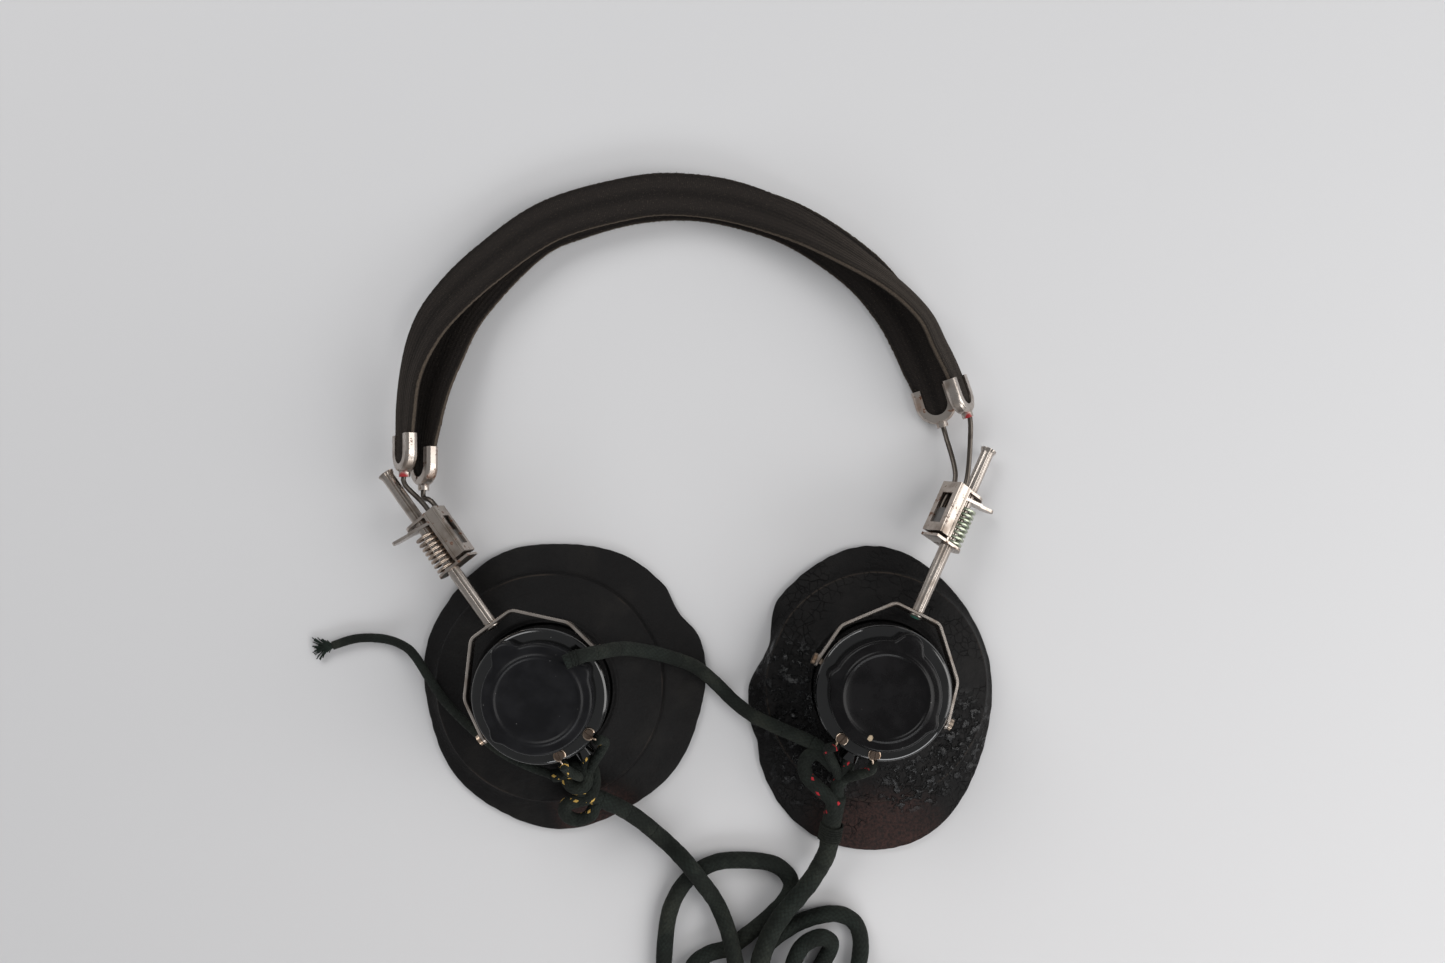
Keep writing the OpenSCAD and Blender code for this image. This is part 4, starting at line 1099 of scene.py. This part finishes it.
def build_cords(plain, loose):
    """The five cords, from the knots to the plug."""
    left = ["left_receiver", "left_yoke", "left_rod", "headband"]
    right = ["right_receiver", "right_yoke", "right_rod", "headband"]
    tie = spline(TIE[::-1], FREE_STEP)
    tie = tie[: cut_at(tie, lengths(tie)[-1] - STRANDS) + 1]
    made, parts = chained("tie_cord_braid", tie, TIE_D, plain, left, TIE_CUTS, ["tie_cord"])
    ends = [frayed("tie_cord_strands", tie[-1], Vector((-1, -0.2, 0)), loose, 0.42, "headband")]
    link = spline(LINK[::-1], FREE_STEP)
    bodies = right + left[2::-1]
    made, parts = chained("link_cord_braid", link, LINK_D, plain, bodies, LINK_CUTS, ["link_cord"])
    wrap_at = LINK[0] + Vector((2, 0.9, -0.2))
    wrap = whipping("link_end_wrap", wrap_at, LINK[1], 2.5, plain, "left_receiver")
    lead = spline(LEFT_LEAD, LEAD_STEP)
    made, parts = chained("left_lead_braid", lead, LEAD_D, plain, left, LEFT_CUTS, ["left_lead"])
    lead = spline(RIGHT_LEAD, LEAD_STEP)
    made, parts = chained(
        "right_lead_braid", lead, RIGHT_LEAD_D, plain, right, RIGHT_CUTS, ["right_lead"]
    )
    whipping("right_lead_collar", COLLAR[0], COLLAR[1], 4.1, plain, "right_receiver")
    whipping(
        "lead_junction_whipping", JUNCTION[0], JUNCTION[1], 3.6, plain, "headband", ["lead_junction"]
    )
    core = Form().tube(spline(JUNCTION, 2), 6.9, 20).piece("lead_junction_core", plain, "cord")
    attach(core, "headband")
    trunk = spline(TRUNK + wound_turns() + TAIL, TRUNK_STEP)
    shown_for = ["trunk_cord", "cord_coil", "plug_tail"]
    made = braided("trunk_cord_braid", trunk, LEAD_D, plain, replaces=shown_for, per_mm=0.8)
    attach(made, "headband")
    tied = coil_tie(plain)


# ---------------------------------------------------------------- CAD pieces


def paint(node, material, round_mm=0.0, smooth=35):
    """Gives a CAD piece its material, and rounds its sharp edges."""
    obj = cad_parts[node]
    obj.data.materials.clear()
    obj.data.materials.append(material)
    if round_mm:
        edge = obj.modifiers.new("edges", "BEVEL")
        edge.width = round_mm * MM
        edge.segments = 3
        edge.limit_method = "ANGLE"
        edge.angle_limit = math.radians(smooth)
        edge.harden_normals = True
        edge.use_clamp_overlap = True


def build():
    """All materials and pieces."""
    silver, grey = srgb(186, 177, 169), srgb(142, 130, 120)
    red, green = srgb(150, 30, 34), srgb(70, 150, 130)
    strap_material, copper = webbing(), winding()
    cotton, dust = srgb(21, 29, 26), srgb(76, 75, 64)
    plain = braid("cord_plain", cotton, dust)
    yellow = braid("cord_yellow_tracer", cotton, dust, srgb(196, 160, 84))
    red_traced = braid("cord_red_tracer", cotton, dust, srgb(168, 38, 46))
    wire = metal("spring_wire", srgb(92, 86, 80), srgb(58, 52, 48), 0.52, shine=0.35)
    verdigris = [((82.9, -37.6, 21.4), 2.0, green)]
    nickel = {
        "left": metal("nickel_left", silver, grey, 0.5),
        "right": metal("nickel_right", silver, grey, 0.5, verdigris),
    }
    clip_front = metal("clip_front_nickel", silver, grey, 0.56, shine=0.22, spots=[
        ((-106.4, 14.6, 21.2), 1.9, red), ((103.6, 36.6, 19.2), 1.9, red)])
    clip_back = metal("clip_back_nickel", silver, srgb(158, 130, 112), 0.62, shine=0.24)
    clamp_metal = metal("clamp_nickel", srgb(180, 170, 161), srgb(134, 122, 112), 0.6, shine=0.24)
    spring_left = metal("spring_nickel_brown", srgb(182, 166, 152), srgb(120, 104, 92), 0.55, shine=0.22)
    spring_right = metal("spring_greenish", srgb(186, 192, 172), srgb(112, 126, 102), 0.56, shine=0.26)
    brass = metal("brass", srgb(196, 178, 160), srgb(140, 116, 96), 0.5)
    screw = metal("screw_brown", srgb(126, 110, 98), srgb(78, 64, 54), 0.54)
    iron = metal("soft_iron", srgb(120, 118, 116), srgb(80, 76, 72), 0.54, shine=0.4)
    magnet = metal("magnet_steel", srgb(86, 90, 94), srgb(60, 60, 62), 0.52, shine=0.45)
    lacquer = metal("diaphragm_lacquer", srgb(70, 66, 62), srgb(44, 40, 38), 0.5, shine=0.3)
    gloss = bakelite("bakelite_gloss", srgb(6, 6, 6), 0.05, 0.8)
    satin = {
        "left": bakelite("cap_satin_left", srgb(17, 17, 19), 0.3, 0.17),
        "right": bakelite("cap_satin_right", srgb(12, 11, 12), 0.22, 0.17, (64.5, -78.2, 41.2)),
    }
    tar = [((36, -66, 8), 20), ((46, -94, 8), 16), ((98, -84, 8), 17), ((84, -100, 8), 13)]
    rubbers = {
        "left": rubber("rubber_left", srgb(17, 16, 16), srgb(33, 31, 29), (-36, -116, 4), 14, 0.7),
        "right": rubber("rubber_right", srgb(13, 12, 12), srgb(31, 29, 28), (72, -126, 3), 22, 0.46, tar),
    }
    strap("strap_front", STRAP_FRONT, strap_material)
    strap("strap_back", STRAP_BACK, strap_material)
    band_wire("band_wire_front", STRAP_FRONT, WIRE_FRONT_IN, wire)
    band_wire("band_wire_back", STRAP_BACK, WIRE_BACK_IN, wire)
    for side, spring in (("left", spring_left), ("right", spring_right)):
        clamp_spring(side, spring)
        slide_rod(side, nickel[side])
        yoke(side, nickel[side])
        ear_cushion(side, rubbers[side])
        paint(f"clip_front_{side}", clip_front, 0.3)
        paint(f"clip_back_{side}", clip_back, 0.3)
        paint(f"clamp_{side}", clamp_metal, 0.18)
        paint(f"wire_anchor_{side}", iron, 0.2)
        paint(f"release_lever_{side}", nickel[side], 0.25)
        paint(f"pivot_screws_{side}", brass, 0.2)
        paint(f"receiver_case_{side}", gloss)
        back_cap(side, satin[side])
        paint(f"cord_bush_{side}", gloss, 0.3)
        paint(f"terminal_screws_{side}", screw, 0.15)
        paint(f"ear_cap_{side}", gloss, 0.3)
        paint(f"diaphragm_{side}", lacquer)
        paint(f"magnet_{side}", magnet, 0.3)
        paint(f"pole_pieces_{side}", iron, 0.1)
        paint(f"coils_{side}", copper)
    knot("left", yellow)
    knot("right", red_traced)
    inner_leads("left", yellow, brass)
    inner_leads("right", red_traced, brass)
    build_cords(plain, braid("cord_strands", srgb(38, 54, 48), srgb(84, 92, 80)))
    paint("plug_handle", bakelite("plug_handle_black", srgb(20, 19, 19), 0.2, 0.3), 0.4)
    paint("plug_sleeve", brass, 0.2)
    paint("plug_tip", brass, 0.2)


set_camera()
set_stage()
build()
